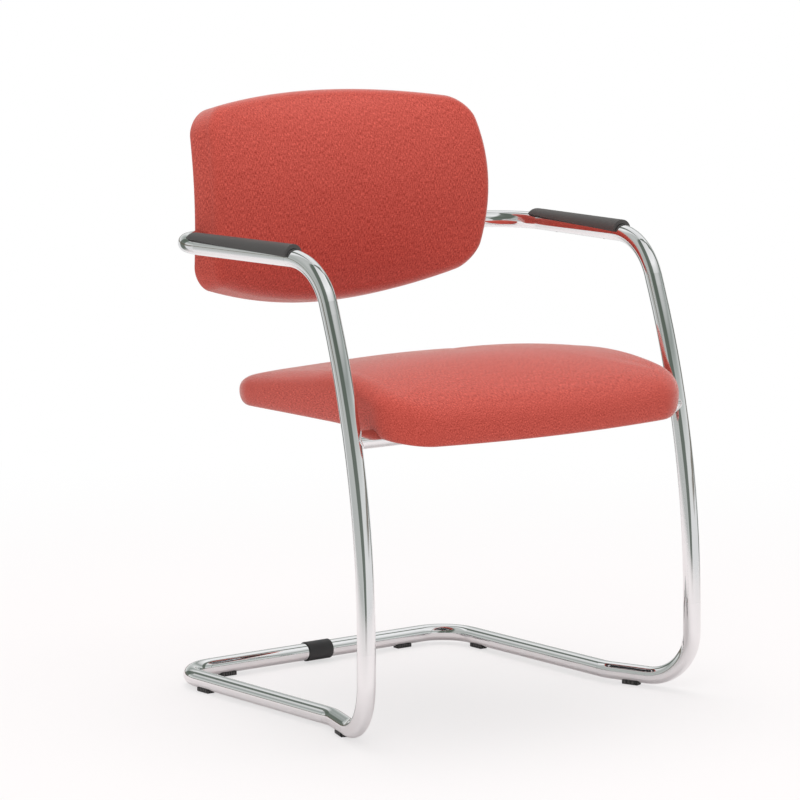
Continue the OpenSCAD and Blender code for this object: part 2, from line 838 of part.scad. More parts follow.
module glide_rear_left() { glide_on(rear_glide_at, 0, 1); }
module glide_rear_right() { glide_on(rear_glide_at, 0, 0); }
module glide_side_left() { glide_on(side_glide_at, side_glide_turn, 1); }
module glide_side_right() { glide_on(side_glide_at, side_glide_turn, 0); }
module glide_front_left() { glide_on(front_glide_at, front_glide_turn, 1); }
module glide_front_right() { glide_on(front_glide_at, front_glide_turn, 0); }

// ---------- seat carrier ----------
module seat_cross_tube() {
    color("silver")
        placed()
            difference() {
                translate([0, cross_y, cross_z])
                    rotate([0, 90, 0])
                        linear_extrude(height = 2 * (leg_at_cross.x - cope_tip), center = true)
                            ring(tube_r, tube_r - tube_wall);
                for (side = [0, 1])
                    mirror([side, 0, 0])
                        bend(foot, knee, arm_front, knee_bend_r, tube_r + weld_gap + bend_draw);
            }
}

hoop_half = hoop_w / 2;
hoop_points = [
    [hoop_half, cross_y, hoop_z],
    [hoop_half, cross_y + hoop_depth, hoop_z],
    [-hoop_half, cross_y + hoop_depth, hoop_z],
    [-hoop_half, cross_y, hoop_z]
];

module seat_hoop() {
    color("silver")
        placed()
            difference() {
                bent(hoop_points, [0, hoop_bend_r, hoop_bend_r, 0], hoop_d / 2);
                bent(hoop_points, [0, hoop_bend_r, hoop_bend_r, 0], hoop_d / 2 - hoop_wall);
                translate([0, cross_y, cross_z])
                    rotate([0, 90, 0])
                        cylinder(r = tube_r + weld_gap, h = hoop_w + 2 * hoop_d, center = true);
            }
}

module seat_tabs() {
    color("gray")
        placed()
            for (p = seat_screw_places)
                translate(p)
                    difference() {
                        linear_extrude(height = tab_t)
                            union() {
                                circle(d = tab_w);
                                translate([p.x < 0 ? tab_w / 2 - tab_len : 0, -tab_w / 2])
                                    square([tab_len - tab_w / 2, tab_w]);
                            }
                        translate([0, 0, -over])
                            cylinder(d = screw_d + 2 * hole_fit, h = tab_t + 2 * over);
                    }
}

module seat_under_cover() {
    color([0.12, 0.12, 0.13])
        placed()
            difference() {
                board_layer(
                    board_t + face_gap,
                    board_t + face_gap + cover_t,
                    board_inset + cover_inset
                );
                for (p = seat_screw_places)
                    translate(p)
                        cylinder(d = screw_d + 2 * hole_fit, h = board_t + tab_t);
            }
}

module seat_board() {
    color("burlywood")
        placed()
            difference() {
                board_layer(0, board_t, board_inset);
                for (p = seat_screw_places)
                    translate([p.x, p.y, board_top_z])
                        insert_hole(board_t);
            }
}

module seat_screws() {
    color("dimgray")
        placed()
            for (p = seat_screw_places)
                translate([p.x, p.y, p.z - face_gap])
                    button_screw(board_top_z - p.z - flange_t);
}

module seat_inserts() {
    color("gold")
        placed()
            for (p = seat_screw_places)
                translate([p.x, p.y, board_top_z])
                    insert(board_t - face_gap);
}

module seat_cushion() {
    pocket = inset_loop(seat_loop, pocket_inset);
    rolled_in = inset_loop(seat_loop, seat_low_roll);
    top_loop = inset_loop(seat_loop, seat_top_roll);
    under = [for (s = reversed(inner_shares)) at_height(loop_share(pocket, seat_middle, s), soft_gap)];
    wall = [at_height(pocket, soft_gap), [for (p = pocket) [p.x, p.y, seat_low(p.y)]]];
    low_roll = [
        for (k = [roll_steps : -1 : 1])
            let (a = 90 * k / roll_steps)
            [for (p = inset_loop(seat_loop, seat_low_roll * (1 - cos(a))))
                [p.x, p.y, seat_mid(p.y) - (seat_mid(p.y) - seat_low(p.y)) * sin(a)]]
    ];
    high_roll = [
        for (k = [0 : roll_steps])
            let (a = 90 * k / roll_steps)
            [for (p = inset_loop(seat_loop, seat_top_roll * (1 - cos(a))))
                [p.x, p.y, seat_mid(p.y) + (seat_top(p.y) - seat_mid(p.y)) * sin(a)]]
    ];
    crown = [
        for (s = crown_shares)
            [for (p = loop_share(top_loop, seat_middle, s))
                [p.x, p.y, seat_top(p.y) + seat_crown_at(p)]]
    ];
    color("indianred")
        placed()
            difference() {
                ringed(
                    [seat_middle.x, seat_middle.y, board_top_z + soft_gap],
                    concat(under, wall, low_roll, high_roll, crown),
                    [seat_middle.x, seat_middle.y, seat_top(seat_middle.y) + seat_crown_at(seat_middle)]
                );
                translate([0, cross_y, cross_z])
                    rotate([0, 90, 0])
                        cylinder(r = tube_r + soft_gap, h = 2 * leg_at_cross.x, center = true);
            }
}

// ---------- back pieces ----------
module back_board() {
    color("burlywood")
        placed()
            difference() {
                back_frame()
                    intersection() {
                        translate([0, 0, back_axis_z])
                            linear_extrude(height = back_board_r + over)
                                polygon(inset_loop(back_loop, back_board_inset));
                        translate([0, 0, back_axis_z])
                            rotate([0, 90, 0])
                                linear_extrude(height = arm_rear_w, center = true)
                                    ring(back_board_r, back_board_rear_r);
                    }
                for (p = bracket_places)
                    bar_frame(p.x)
                        translate([0, p.y, back_flange_z])
                            insert_hole(back_board_t);
            }
}

module back_saddles() {
    color([0.2, 0.2, 0.22])
        placed()
            for (side = [-1, 1])
                bar_frame(side * bracket_x)
                    difference() {
                        intersection() {
                            translate([-saddle_w / 2, -saddle_len / 2, 0])
                                cube([saddle_w, saddle_len, board_face]);
                            translate([0, 0, -bar_reach])
                                rotate([0, 90, 0])
                                    cylinder(
                                        r = back_board_rear_r - face_gap,
                                        h = saddle_w + over,
                                        center = true,
                                        $fn = fine_fn
                                    );
                        }
                        rotate([0, 90, 0])
                            cylinder(r = tube_r + fit, h = saddle_w + over, center = true);
                        for (end = [-1, 1])
                            translate([0, end * bracket_pitch / 2, -over])
                                cylinder(d = screw_d + 2 * hole_fit, h = board_face + 2 * over);
                    }
}

module back_straps() {
    hug = tube_r + fit;
    color("gray")
        placed()
            for (side = [-1, 1])
                bar_frame(side * bracket_x)
                    difference() {
                        rotate([90, 0, 90])
                            linear_extrude(height = strap_w, center = true)
                                difference() {
                                    union() {
                                        circle(r = hug + strap_t);
                                        translate([-saddle_len / 2, strap_face])
                                            square([saddle_len, strap_t]);
                                    }
                                    circle(r = hug);
                                    translate([-saddle_len / 2, -face_gap])
                                        square([saddle_len, tube_d]);
                                }
                        for (end = [-1, 1])
                            translate([0, end * bracket_pitch / 2, strap_face - over])
                                cylinder(d = screw_d + 2 * hole_fit, h = strap_t + 2 * over);
                    }
}

module back_screws() {
    color("dimgray")
        placed()
            for (p = bracket_places)
                bar_frame(p.x)
                    translate([0, p.y, strap_face - face_gap])
                        button_screw(back_flange_z - strap_face);
}

module back_inserts() {
    color("gold")
        placed()
            for (p = bracket_places)
                bar_frame(p.x)
                    translate([0, p.y, back_flange_z])
                        insert(back_flange_z - back_barrel_z);
}

module back_front_pad() {
    pocket = inset_loop(back_loop, back_pocket_inset);
    face_r = back_board_r + soft_gap;
    under = [for (s = reversed(inner_shares)) on_board(loop_share(pocket, back_middle, s), face_r)];
    wall = [on_board(pocket, face_r), on_base(pocket, -back_seam), on_base(back_loop, -back_seam)];
    roll = [
        for (k = [0 : roll_steps])
            let (a = 90 * k / roll_steps)
            on_base(inset_loop(back_loop, back_front_roll * (1 - cos(a))), back_front_t * sin(a))
    ];
    top_loop = inset_loop(back_loop, back_front_roll);
    crown = [
        for (s = crown_shares)
            on_base(loop_share(top_loop, back_middle, s), back_front_t, back_crown, back_front_roll)
    ];
    color("indianred")
        placed()
            back_frame()
                ringed(
                    on_board([back_middle], face_r)[0],
                    concat(under, wall, roll, crown),
                    on_base([back_middle], back_front_t, back_crown, back_front_roll)[0]
                );
}

module back_rear_pad() {
    rear = [for (s = reversed(crown_shares)) back_rear_ring(s)];
    roll = [
        for (k = [0 : 2])
            let (a = 45 * (2 - k))
            on_base(
                inset_loop(back_loop, back_rear_roll * (1 - cos(a))),
                -back_rear_t + back_rear_roll * (1 - sin(a))
            )
    ];
    plateau = inset_loop(back_loop, back_pocket_inset + soft_gap);
    face_r = back_board_rear_r - soft_gap;
    seam = [for (loop = [back_loop, plateau]) on_base(loop, -back_seam - seam_gap)];
    // One recess in the foam takes both brackets and the bar between them
    pocket_w = 2 * bracket_x + saddle_w + 2 * soft_gap;
    pocket_depth = tube_r + strap_t + soft_gap;
    front = [
        for (s = concat([1], inner_shares))
            on_board(loop_share(plateau, back_middle, s), face_r)
    ];
    color("indianred")
        placed()
            difference() {
                back_frame()
                    ringed(
                        on_base([back_middle], -back_rear_t, -back_rear_crown, back_rear_roll)[0],
                        concat(rear, roll, seam, front),
                        on_board([back_middle], face_r)[0]
                    );
                bent(
                    [arm_front, arm_rear, mirrored(arm_rear), mirrored(arm_front)],
                    [0, arm_rear_r, arm_rear_r, 0], tube_r + soft_gap
                );
                bar_frame(0)
                    translate([-pocket_w / 2, -saddle_len / 2 - soft_gap, -pocket_depth])
                        cube([pocket_w, saddle_len + 2 * soft_gap, pocket_depth + board_face + over]);
            }
}

// ---------- arm pads ----------
// The pad's outer form is round about a line above the tube's own line
module arm_pad() {
    inner = mirrored(arm_rear);
    nose_turn = arm_pad_rear / arm_rear_r * 180 / PI;
    c = bend_centre(arm_front, arm_rear, inner, arm_rear_r);
    e1 = unit(arm_end - c);
    n = cross(e1, arm_run);
    nose = c + arm_rear_r * (cos(nose_turn) * e1 + sin(nose_turn) * arm_run);
    lap = bend_lap / arm_rear_r * 180 / PI;
    run = norm(arm_end - arm_pad_start);
    reach = arm_pad_r + arm_pad_rear;
    rising = atan(arm_pad_taper / (run + arm_pad_rear));
    difference() {
        translate([0, 0, arm_pad_lift]) {
            along(arm_pad_start, arm_end)
                cylinder(r = arm_pad_r, h = run);
            translate(c)
                rotate([atan2(arm_run.z, n.z), -asin(e1.z), atan2(e1.y, e1.x)])
                    rotate([0, 0, -lap])
                        rotate_extrude(angle = nose_turn + lap)
                            translate([arm_rear_r, 0])
                                circle(r = arm_pad_r - bend_draw);
            translate(nose)
                sphere(r = arm_pad_r - 2 * bend_draw);
        }
        along(arm_pad_start - arm_run * over, arm_end)
            cylinder(r = tube_r + fit, h = run + over);
        bend(arm_front, arm_rear, inner, arm_rear_r, tube_r + fit);
        translate(arm_pad_start)
            rotate([0, 0, arm_heading])
                rotate([0, -arm_slope, 0])
                    translate([0, 0, arm_pad_edge])
                        rotate([0, -rising, 0])
                            translate([-arm_pad_r, -2 * reach, -2 * arm_pad_r])
                                cube([run + 2 * reach, 4 * reach, 2 * arm_pad_r]);
        for (p = arm_screw_places)
            translate(p)
                cylinder(d = arm_screw_d + hole_fit, h = tube_r + arm_screw_bite + hole_fit);
    }
}

module arm_pad_on(side) {
    color([0.35, 0.35, 0.36])
        placed()
            mirror([side, 0, 0])
                arm_pad();
}

module arm_pad_left() { arm_pad_on(1); }
module arm_pad_right() { arm_pad_on(0); }

module arm_screws() {
    length = tube_d - arm_head_sink + arm_screw_bite;
    color("dimgray")
        placed()
            for (side = [0, 1])
                mirror([side, 0, 0])
                    for (p = arm_screw_places)
                        translate([p.x, p.y, p.z - tube_r + arm_head_sink])
                            difference() {
                                countersunk(arm_head_d, arm_screw_d, arm_head_rim, length);
                                translate([0, 0, -arm_head_rim - over])
                                    cylinder(d = arm_screw_d / 2, h = over + arm_head_d / 4, $fn = 6);
                            }
}

frame_tube();
frame_spigot();
frame_sleeve();
glide_rear_left();
glide_rear_right();
glide_side_left();
glide_side_right();
glide_front_left();
glide_front_right();
seat_cross_tube();
seat_hoop();
seat_tabs();
seat_board();
seat_cushion();
seat_under_cover();
seat_screws();
seat_inserts();
back_board();
back_front_pad();
back_rear_pad();
back_saddles();
back_straps();
back_screws();
back_inserts();
arm_pad_left();
arm_pad_right();
arm_screws();
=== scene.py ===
# %% [markdown]
# # A cantilever visitor chair
# One chromed steel tube is bent into a single loop: floor rails, legs, arms and the bar behind
# the sitter. The metal and plastic come from the CAD model as they are and only need their
# finishes. The two upholstered pads are built here, because fabric over foam is a soft,
# pulled form that a machined solid can't show.

# %% Load the frame
import json
import math
import bpy
import numpy as np
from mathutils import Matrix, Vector
from mathutils.bvhtree import BVHTree


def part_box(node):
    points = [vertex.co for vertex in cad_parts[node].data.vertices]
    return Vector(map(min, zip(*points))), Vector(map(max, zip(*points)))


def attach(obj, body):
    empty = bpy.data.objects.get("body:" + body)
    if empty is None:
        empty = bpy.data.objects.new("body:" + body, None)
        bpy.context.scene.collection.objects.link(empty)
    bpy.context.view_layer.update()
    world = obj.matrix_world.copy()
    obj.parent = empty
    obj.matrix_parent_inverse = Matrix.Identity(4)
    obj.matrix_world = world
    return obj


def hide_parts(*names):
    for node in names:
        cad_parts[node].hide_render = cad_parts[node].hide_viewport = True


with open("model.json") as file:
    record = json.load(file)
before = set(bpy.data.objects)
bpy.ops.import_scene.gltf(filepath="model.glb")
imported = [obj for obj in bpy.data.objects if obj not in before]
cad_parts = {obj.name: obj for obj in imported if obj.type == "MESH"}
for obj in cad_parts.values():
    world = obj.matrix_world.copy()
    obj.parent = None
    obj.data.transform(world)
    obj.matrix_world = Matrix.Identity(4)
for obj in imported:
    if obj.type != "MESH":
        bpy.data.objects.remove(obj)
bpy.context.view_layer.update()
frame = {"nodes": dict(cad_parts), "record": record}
NODES = frame["nodes"]
MM = 0.001

# %% [markdown]
# ## Finishes
# A finish is a small network of shader nodes. Sums and masks read best as plain expressions, so
# one class wraps a socket and turns +, -, * and / into Math nodes. Every other node is made by
# one method, which takes the node's type, its settings and the values of its sockets.

# %% A class for shader expressions
class Value:
    """An output socket that can stand in a sum."""
    def __init__(self, net, socket):
        self.net, self.socket = net, socket

    def _math(self, operation, a, b=None):
        return self.net.node("ShaderNodeMath", {"operation": operation}, {0: a, 1: b}, "Value")

    def __add__(self, other): return self._math("ADD", self, other)
    def __radd__(self, other): return self._math("ADD", other, self)
    def __sub__(self, other): return self._math("SUBTRACT", self, other)
    def __rsub__(self, other): return self._math("SUBTRACT", other, self)
    def __mul__(self, other): return self._math("MULTIPLY", self, other)
    def __rmul__(self, other): return self._math("MULTIPLY", other, self)
    def __truediv__(self, other): return self._math("DIVIDE", self, other)
    def clamp(self): return self._math("MINIMUM", self._math("MAXIMUM", self, 0.0), 1.0)
    def sine(self): return self._math("SINE", self)
    def size(self): return self._math("ABSOLUTE", self)
    def angle(self, other): return self._math("ARCTAN2", self, other)

print("sockets can now stand in sums")

# %% A class for a material's nodes
class Net:
    """The nodes of one material or of the world, with a material's main shader at hand."""
    def __init__(self, material):
        material.use_nodes = True
        self.material, self.tree = material, material.node_tree
        self.shader = self.tree.nodes.get("Principled BSDF")

    def node(self, kind, settings=None, inputs=None, out=0):
        made = self.tree.nodes.new(kind)
        for key, value in (settings or {}).items():
            if key == "stops":
                ramp = made.color_ramp
                while len(ramp.elements) < len(value):
                    ramp.elements.new(0.5)
                for element, (at, colour) in zip(ramp.elements, value):
                    element.position, element.color = at, (*colour, 1)
            else:
                setattr(made, key, value)
        for key, value in (inputs or {}).items():
            self.plug(value, made.inputs[key])
        return Value(self, made.outputs[out])

    def plug(self, value, socket):
        if value is None:
            return
        if isinstance(value, Value):
            self.tree.links.new(value.socket, socket)
        else:
            socket.default_value = value

    def set(self, **sockets):
        for key, value in sockets.items():
            self.plug(value, self.shader.inputs[key.replace("_", " ")])

    def place(self, scale=(1, 1, 1)):
        """Points of the piece in metres, stretched by a scale along each axis."""
        return self.stretch(self.node("ShaderNodeTexCoord", out="Object"), scale)

    def stretch(self, vector, scale):
        return self.node("ShaderNodeVectorMath", {"operation": "MULTIPLY"},
                         {0: vector, 1: scale}, "Vector")

    def split(self, vector):
        """The x, y and z of a vector."""
        node = self.node("ShaderNodeSeparateXYZ", {}, {0: vector}).socket.node
        return [Value(self, out) for out in node.outputs]

    def noise(self, at, scale, detail=2.0, roughness=0.5):
        return self.node("ShaderNodeTexNoise", {}, {
            "Vector": at, "Scale": scale, "Detail": detail, "Roughness": roughness}, "Fac")

    def mix(self, share, a, b):
        """Two colours mixed by a share of the second."""
        return self.node("ShaderNodeMix", {"data_type": "RGBA"}, {0: share, 6: a, 7: b}, 2)

    def blend(self, share, a, b):
        """Two shaders mixed by a share of the second."""
        return self.node("ShaderNodeMixShader", {}, {0: share, 1: a, 2: b})

    def bump(self, height, strength, distance):
        self.set(Normal=self.node("ShaderNodeBump", {}, {
            "Height": height, "Strength": strength, "Distance": distance}, "Normal"))


def new_finish(name):
    return Net(bpy.data.materials.new(name))


def rgb(r, g, b):
    """An sRGB colour in 0..255 as the linear colour that a socket wants."""
    line = lambda v: v / 12.92 if v <= 0.04045 else ((v + 0.055) / 1.055) ** 2.4
    return (*(line(v / 255) for v in (r, g, b)), 1)


def dress(piece, finish):
    piece.data.materials.clear()
    piece.data.materials.append(finish.material)

print("one finish is one net of nodes")

# %% [markdown]
# ### Chrome
# Bright chrome is a mirror with hardly any colour. A perfectly clean mirror looks computed, so
# very faint waves of the polishing wheel bend it and a few cloudy patches make it less sharp.

# %% Chrome
chrome = new_finish("polished_chrome")
haze = chrome.noise(chrome.place(), scale=14.0, detail=3.0)
chrome.set(Base_Color=chrome.mix(haze, (0.80, 0.81, 0.82, 1), (0.88, 0.885, 0.89, 1)),
           Metallic=1.0, Roughness=haze * 0.05 + 0.035)
chrome.bump(chrome.noise(chrome.place(), scale=90.0), strength=0.02, distance=0.0004)
print("chrome:", len(chrome.tree.nodes), "nodes")

# %% [markdown]
# ### Moulded plastic
# The arm pads, glides and sleeve are injection moulded with a fine spark-eroded grain. It is a
# noise far smaller than a millimetre, felt mostly as a soft, wide highlight. A wide, weak noise
# makes the plastic a little darker and shinier in places, as handling does. The glides are
# ribbed, so that they grip the floor. Their ribs run aslant, so they show on every side. Their
# grooves are painted dark and their ridges light, which is painted shade in the grooves.

# %% Plastics
GRAIN = 1600.0             # grains per metre
HANDLED = 22.0             # shiny patches per metre
RIBS = 1500.0              # radians per metre of x + y: a rib every 4.2 mm along a side

def handled(net):
    return net.noise(net.place(), scale=HANDLED, detail=3.0)


def moulded(name, colour, rough):
    net = new_finish(name)
    grain = net.noise(net.place(), scale=GRAIN, detail=3.0, roughness=0.6)
    patches = handled(net)
    dark = (*(0.8 * c for c in colour[:3]), 1)
    net.set(Base_Color=net.mix(patches, dark, colour), Roughness=patches * 0.12 + (rough - 0.06))
    net.bump(grain, strength=0.25, distance=0.0003)
    return net

pad_grey = moulded("arm_pad_grey", rgb(78, 76, 75), 0.52)
black_plastic = moulded("black_moulding", rgb(46, 46, 47), 0.5)

glide_black = new_finish("glide_black")
x, y, _ = glide_black.split(glide_black.place())
# The rib height feeds the bump and also the colour: near black in the grooves and grey on the
# ridges, which is painted shade.
rib_height_and_groove_shade = ((x + y) * RIBS).sine() * 0.5 + 0.5
glide_black.set(Base_Color=glide_black.mix(rib_height_and_groove_shade, rgb(18, 18, 19), rgb(74, 73, 72)),
                Roughness=handled(glide_black) * 0.12 + 0.49)
glide_black.bump(rib_height_and_groove_shade, strength=0.5, distance=0.0008)
print("plastics:", [net.material.name for net in (pad_grey, black_plastic, glide_black)])

# %% [markdown]
# ### Hidden steel, screws, plywood and the dust cover
# Brackets and tabs are zinc plated, which shows as large dull crystals. The screws are black
# oxide. The boards are raw beech plywood, and a thin black felt closes the seat underneath.

# %% Steel and screws
zinc = new_finish("zinc_plate")
spangle = zinc.node("ShaderNodeTexVoronoi", {}, {"Vector": zinc.place(), "Scale": 260.0}, "Color")
grey = zinc.node("ShaderNodeRGBToBW", {}, {0: spangle})
zinc.set(Base_Color=zinc.mix(grey, (0.50, 0.52, 0.54, 1), (0.66, 0.67, 0.68, 1)),
         Metallic=1.0, Roughness=grey * 0.16 + 0.3)

oxide = new_finish("black_oxide")
worn = oxide.noise(oxide.place(), scale=300.0, detail=4.0)
oxide.set(Base_Color=oxide.mix(worn, (0.02, 0.02, 0.022, 1), (0.07, 0.07, 0.075, 1)),
          Metallic=0.8, Roughness=worn * 0.2 + 0.32)
print("metals:", zinc.material.name, oxide.material.name)

# %% Plywood and felt
PLIES = 3000.0             # radians per metre: a light and a dark layer every 2.1 mm

ply = new_finish("beech_ply")
fibres = ply.noise(ply.place((30, 400, 400)), scale=1.0, detail=4.0)
layers = (ply.split(ply.place())[2] * PLIES).sine() * 0.5 + 0.5
ply.set(Base_Color=ply.mix(fibres * 0.6 + layers * 0.4, rgb(176, 132, 88), rgb(214, 174, 128)),
        Roughness=fibres * 0.2 + 0.55)
ply.bump(fibres, strength=0.2, distance=0.0005)

felt = new_finish("black_felt")
fuzz = felt.noise(felt.place(), scale=900.0, detail=4.0, roughness=0.7)
felt.set(Base_Color=felt.mix(fuzz, (0.012, 0.012, 0.013, 1), (0.035, 0.035, 0.037, 1)),
         Roughness=0.95)
felt.bump(fuzz, strength=0.5, distance=0.0004)
print("board and cover:", ply.material.name, felt.material.name)

# %% [markdown]
# ### The red upholstery
# The cover is a fine plain weave of flecked yarn. Each yarn changes tone along its length, so a
# step away the cloth looks mottled. The weave follows the cover's own flat coordinates, which
# are kept in a UV map in metres, and the nap is paler where the eye grazes it: that is sheen.

# %% Upholstery fabric
THREADS = 950.0            # yarns per metre, each way

red_cloth = new_finish("red_upholstery")
flat = red_cloth.node("ShaderNodeUVMap", {"uv_map": "cloth"}, {}, "UV")

def flecks(along, across, detail, roughness):
    """Noise on the flat cloth with so many flecks per metre each way."""
    at = red_cloth.stretch(flat, (along, across, 1))
    return red_cloth.noise(at, 1.0, detail, roughness)

warp = flecks(800, 210, 2.0, 0.6)
weft = flecks(300, 620, 2.0, 0.6)
cloud = flecks(60, 60, 3.0, 0.55)
fleck = warp * 0.62 + weft * 0.32 + cloud * 0.06
tone = ((fleck - 0.5) * 3.0 + 0.5).clamp()
x, y, _ = red_cloth.split(flat)
weave = (x * (THREADS * math.pi)).sine() * (y * (THREADS * math.pi)).sine() * 0.5 + 0.5
red_cloth.set(Base_Color=red_cloth.mix(tone, rgb(143, 38, 31), rgb(229, 106, 92)),
              Roughness=tone * 0.08 + 0.84, Specular_IOR_Level=0.2,
              Sheen_Weight=1.0, Sheen_Roughness=0.32, Sheen_Tint=(1.0, 0.80, 0.76, 1))
red_cloth.bump(weave * 0.5 + fleck * 1.6, strength=0.45, distance=0.0007)
print("cloth:", len(red_cloth.tree.nodes), "nodes")

# %% [markdown]
# ## Finishing the CAD pieces
# The record says which material each CAD piece is of. The tube, glides, arm pads and hidden
# hardware are already the right shape, so each of them only gets the finish of its material.

# %% Dress the CAD nodes
FINISH = {
    "chrome_tube": chrome, "plain_steel": zinc, "black_steel": oxide,
    "black_plastic": black_plastic, "grey_plastic": pad_grey, "plywood": ply,
    "black_cover": felt, "red_fabric": red_cloth,
}
for part in frame["record"]["subparts"]:
    node = part["node"]
    dress(NODES[node], glide_black if node.startswith("glide") else FINISH[part["material_slot"]])

# %% [markdown]
# ## The pads' outline
# Seen square on, each pad is a four-sided plate with round corners whose edges are bulged as
# shallow arcs. The same few sizes, in millimetres, give the outline at any fineness. It is moved
# in along its own normals to roll the edges over.

# %% Outline helpers
def unit(v):
    return v / np.linalg.norm(v, axis=-1, keepdims=True)


def corner_arc(a, p, b, r, steps):
    """The arc of radius r that rounds the corner p between a and b."""
    ua, ub = unit(a - p), unit(b - p)
    t = r / math.tan(math.acos(float(ua @ ub)) / 2)
    c = p + unit(ua + ub) * math.hypot(r, t)
    start, end = p + ua * t - c, p + ub * t - c
    a0, a1 = math.atan2(start[1], start[0]), math.atan2(end[1], end[0])
    sweep = a1 - a0 + (2 * math.pi if a1 < a0 else 0)
    turn = a0 + sweep * np.linspace(0, 1, steps + 1)
    return c + r * np.stack([np.cos(turn), np.sin(turn)], 1)


def pad_outline(low_w, high_w, low, high, low_b, high_b, side_b, low_r, high_r, corner=14, side=34):
    """low is the seat's front or the back's foot, high the other end. At each, w is half the
    width, b the bulge of the edge and r the corners' radius."""
    corners = np.array([(-low_w, low), (low_w, low), (high_w, high), (-high_w, high)], float)
    radii = (low_r, low_r, high_r, high_r)
    arcs = [corner_arc(corners[i - 1], corners[i], corners[(i + 1) % 4], radii[i], corner)
            for i in range(4)]
    points = []
    for i in range(4):
        a, b = arcs[i][-1], arcs[(i + 1) % 4][0]
        points += list(arcs[i]) + [a + (b - a) * k / side for k in range(1, side)]
    p = np.array(points)
    v = np.clip((p[:, 1] - (low + high) / 2) / ((high - low) / 2), -1, 1)
    u = np.minimum(1, np.abs(p[:, 0]) / max(low_w, high_w))
    p[:, 1] += (high_b * (1 - np.clip(p[:, 0] / high_w, -1, 1) ** 2) * np.maximum(v, 0)
                - low_b * (1 - np.clip(p[:, 0] / low_w, -1, 1) ** 2) * np.maximum(-v, 0))
    p[:, 0] += np.sign(p[:, 0]) * side_b * (1 - v ** 2) * u
    return p


def outward(loop):
    """The outline's normals, which point away from the pad."""
    d = unit(np.roll(loop, -1, 0) - np.roll(loop, 1, 0))
    return np.stack([d[:, 1], -d[:, 0]], 1)


def crown_share(p, low_w, high_w, low, high, low_b, high_b):
    """How much of the crown each point has: 1 in the middle, 0 at the outline."""
    w = low_w + (high_w - low_w) * (p[:, 1] - low) / (high - low)
    u = np.minimum(1, np.abs(p[:, 0]) / w)
    top, foot = high + high_b * (1 - u ** 2), low - low_b * (1 - u ** 2)
    v = np.minimum(1, np.abs(2 * p[:, 1] - top - foot) / (top - foot))
    return (1 - u ** 2) * (1 - v ** 2)

print("outline helpers ready")

# %% [markdown]
# A pad is a stack of rings: from the middle of its underside out to the edge, round the edge and
# back to the middle of its top. Each ring also gets its place on the flat cloth, which is the
# outline's own point pushed out by the length of cloth that the rolled edge takes.

# %% Skin a stack of rings
def skin(name, rings, flats, low_middle, high_middle, under_rings):
    """rings: (m, 3) arrays in millimetres, underside first; flats: their places on the cloth.
    The first under_rings rings are a piece of cloth of their own."""
    m, n = len(rings[0]), len(rings)
    points = np.concatenate(rings + [np.array([low_middle]), np.array([high_middle])]) * MM
    cloth = np.concatenate(flats + [flats[0].mean(0)[None], flats[-1].mean(0)[None]]) * MM
    faces = [(k * m + j, k * m + (j + 1) % m, (k + 1) * m + (j + 1) % m, (k + 1) * m + j)
             for k in range(n - 1) for j in range(m)]
    faces += [(m * n, (j + 1) % m, j) for j in range(m)]
    faces += [(m * n + 1, (n - 1) * m + j, (n - 1) * m + (j + 1) % m) for j in range(m)]
    mesh = bpy.data.meshes.new(name)
    mesh.from_pydata(points.tolist(), [], faces)
    piece = bpy.data.objects.new(name, mesh)
    bpy.context.scene.collection.objects.link(piece)
    lay_cloth(mesh, cloth, np.array([k // m for k in range(m * n)] + [0, n - 1]), m, under_rings)
    return piece


def lay_cloth(mesh, cloth, ring, m, under_rings):
    """Writes the UV map. A face across the seam goes on as the underside's cloth would."""
    uv = []
    for face in mesh.polygons:
        below = min(ring[v] for v in face.vertices) < under_rings
        for v in face.vertices:
            at = cloth[v]
            if below and ring[v] >= under_rings:
                at = 2 * cloth[v - m] - cloth[v - 2 * m]
            uv += [at[0], at[1]]
        face.use_smooth = True
    layer = mesh.uv_layers.new(name="cloth")
    layer.data.foreach_set("uv", np.array(uv, np.float32))

print("ring helpers ready")

# %% [markdown]
# Foam under a tight cover is slightly blown up: it stands a few millimetres proud wherever the
# cloth isn't held. A short cloth simulation with air pressure and no gravity gives that fullness.
# The pad starts a little too thin, its underside or rear edge is pinned, and the foam holds every
# other point softly. Only the outward part of the movement is kept, up to a cap, and it is evened
# out over the edges, so the pad ends close to the CAD surface and has no wrinkles.

# %% Blow up a pad
def under_pressure(piece, pinned, pressure=4.0, hold=0.15, frames=20):
    """Where the air pushes each point. hold is how strongly the foam keeps a free one."""
    group = piece.vertex_groups.new(name="held")
    group.add(list(range(len(piece.data.vertices))), hold, "REPLACE")
    group.add([int(v) for v in pinned], 1.0, "REPLACE")
    cloth = piece.modifiers.new("cloth", "CLOTH")
    settings = cloth.settings
    settings.quality = 6
    settings.mass = 0.3
    settings.tension_stiffness = settings.compression_stiffness = 25
    settings.shear_stiffness = 10
    settings.bending_stiffness = 4
    settings.use_pressure = True
    settings.uniform_pressure_force = pressure
    settings.vertex_group_mass = "held"
    settings.pin_stiffness = 1.0
    settings.effector_weights.gravity = 0
    cloth.collision_settings.use_collision = False
    cloth.point_cache.frame_start, cloth.point_cache.frame_end = 1, frames
    scene = bpy.context.scene
    for number in range(1, frames + 1):
        scene.frame_set(number)
    posed = piece.evaluated_get(bpy.context.evaluated_depsgraph_get())
    end = np.array([v.co for v in posed.to_mesh().vertices])
    posed.to_mesh_clear()
    piece.modifiers.remove(cloth)
    piece.vertex_groups.remove(group)
    scene.frame_set(1)
    return end


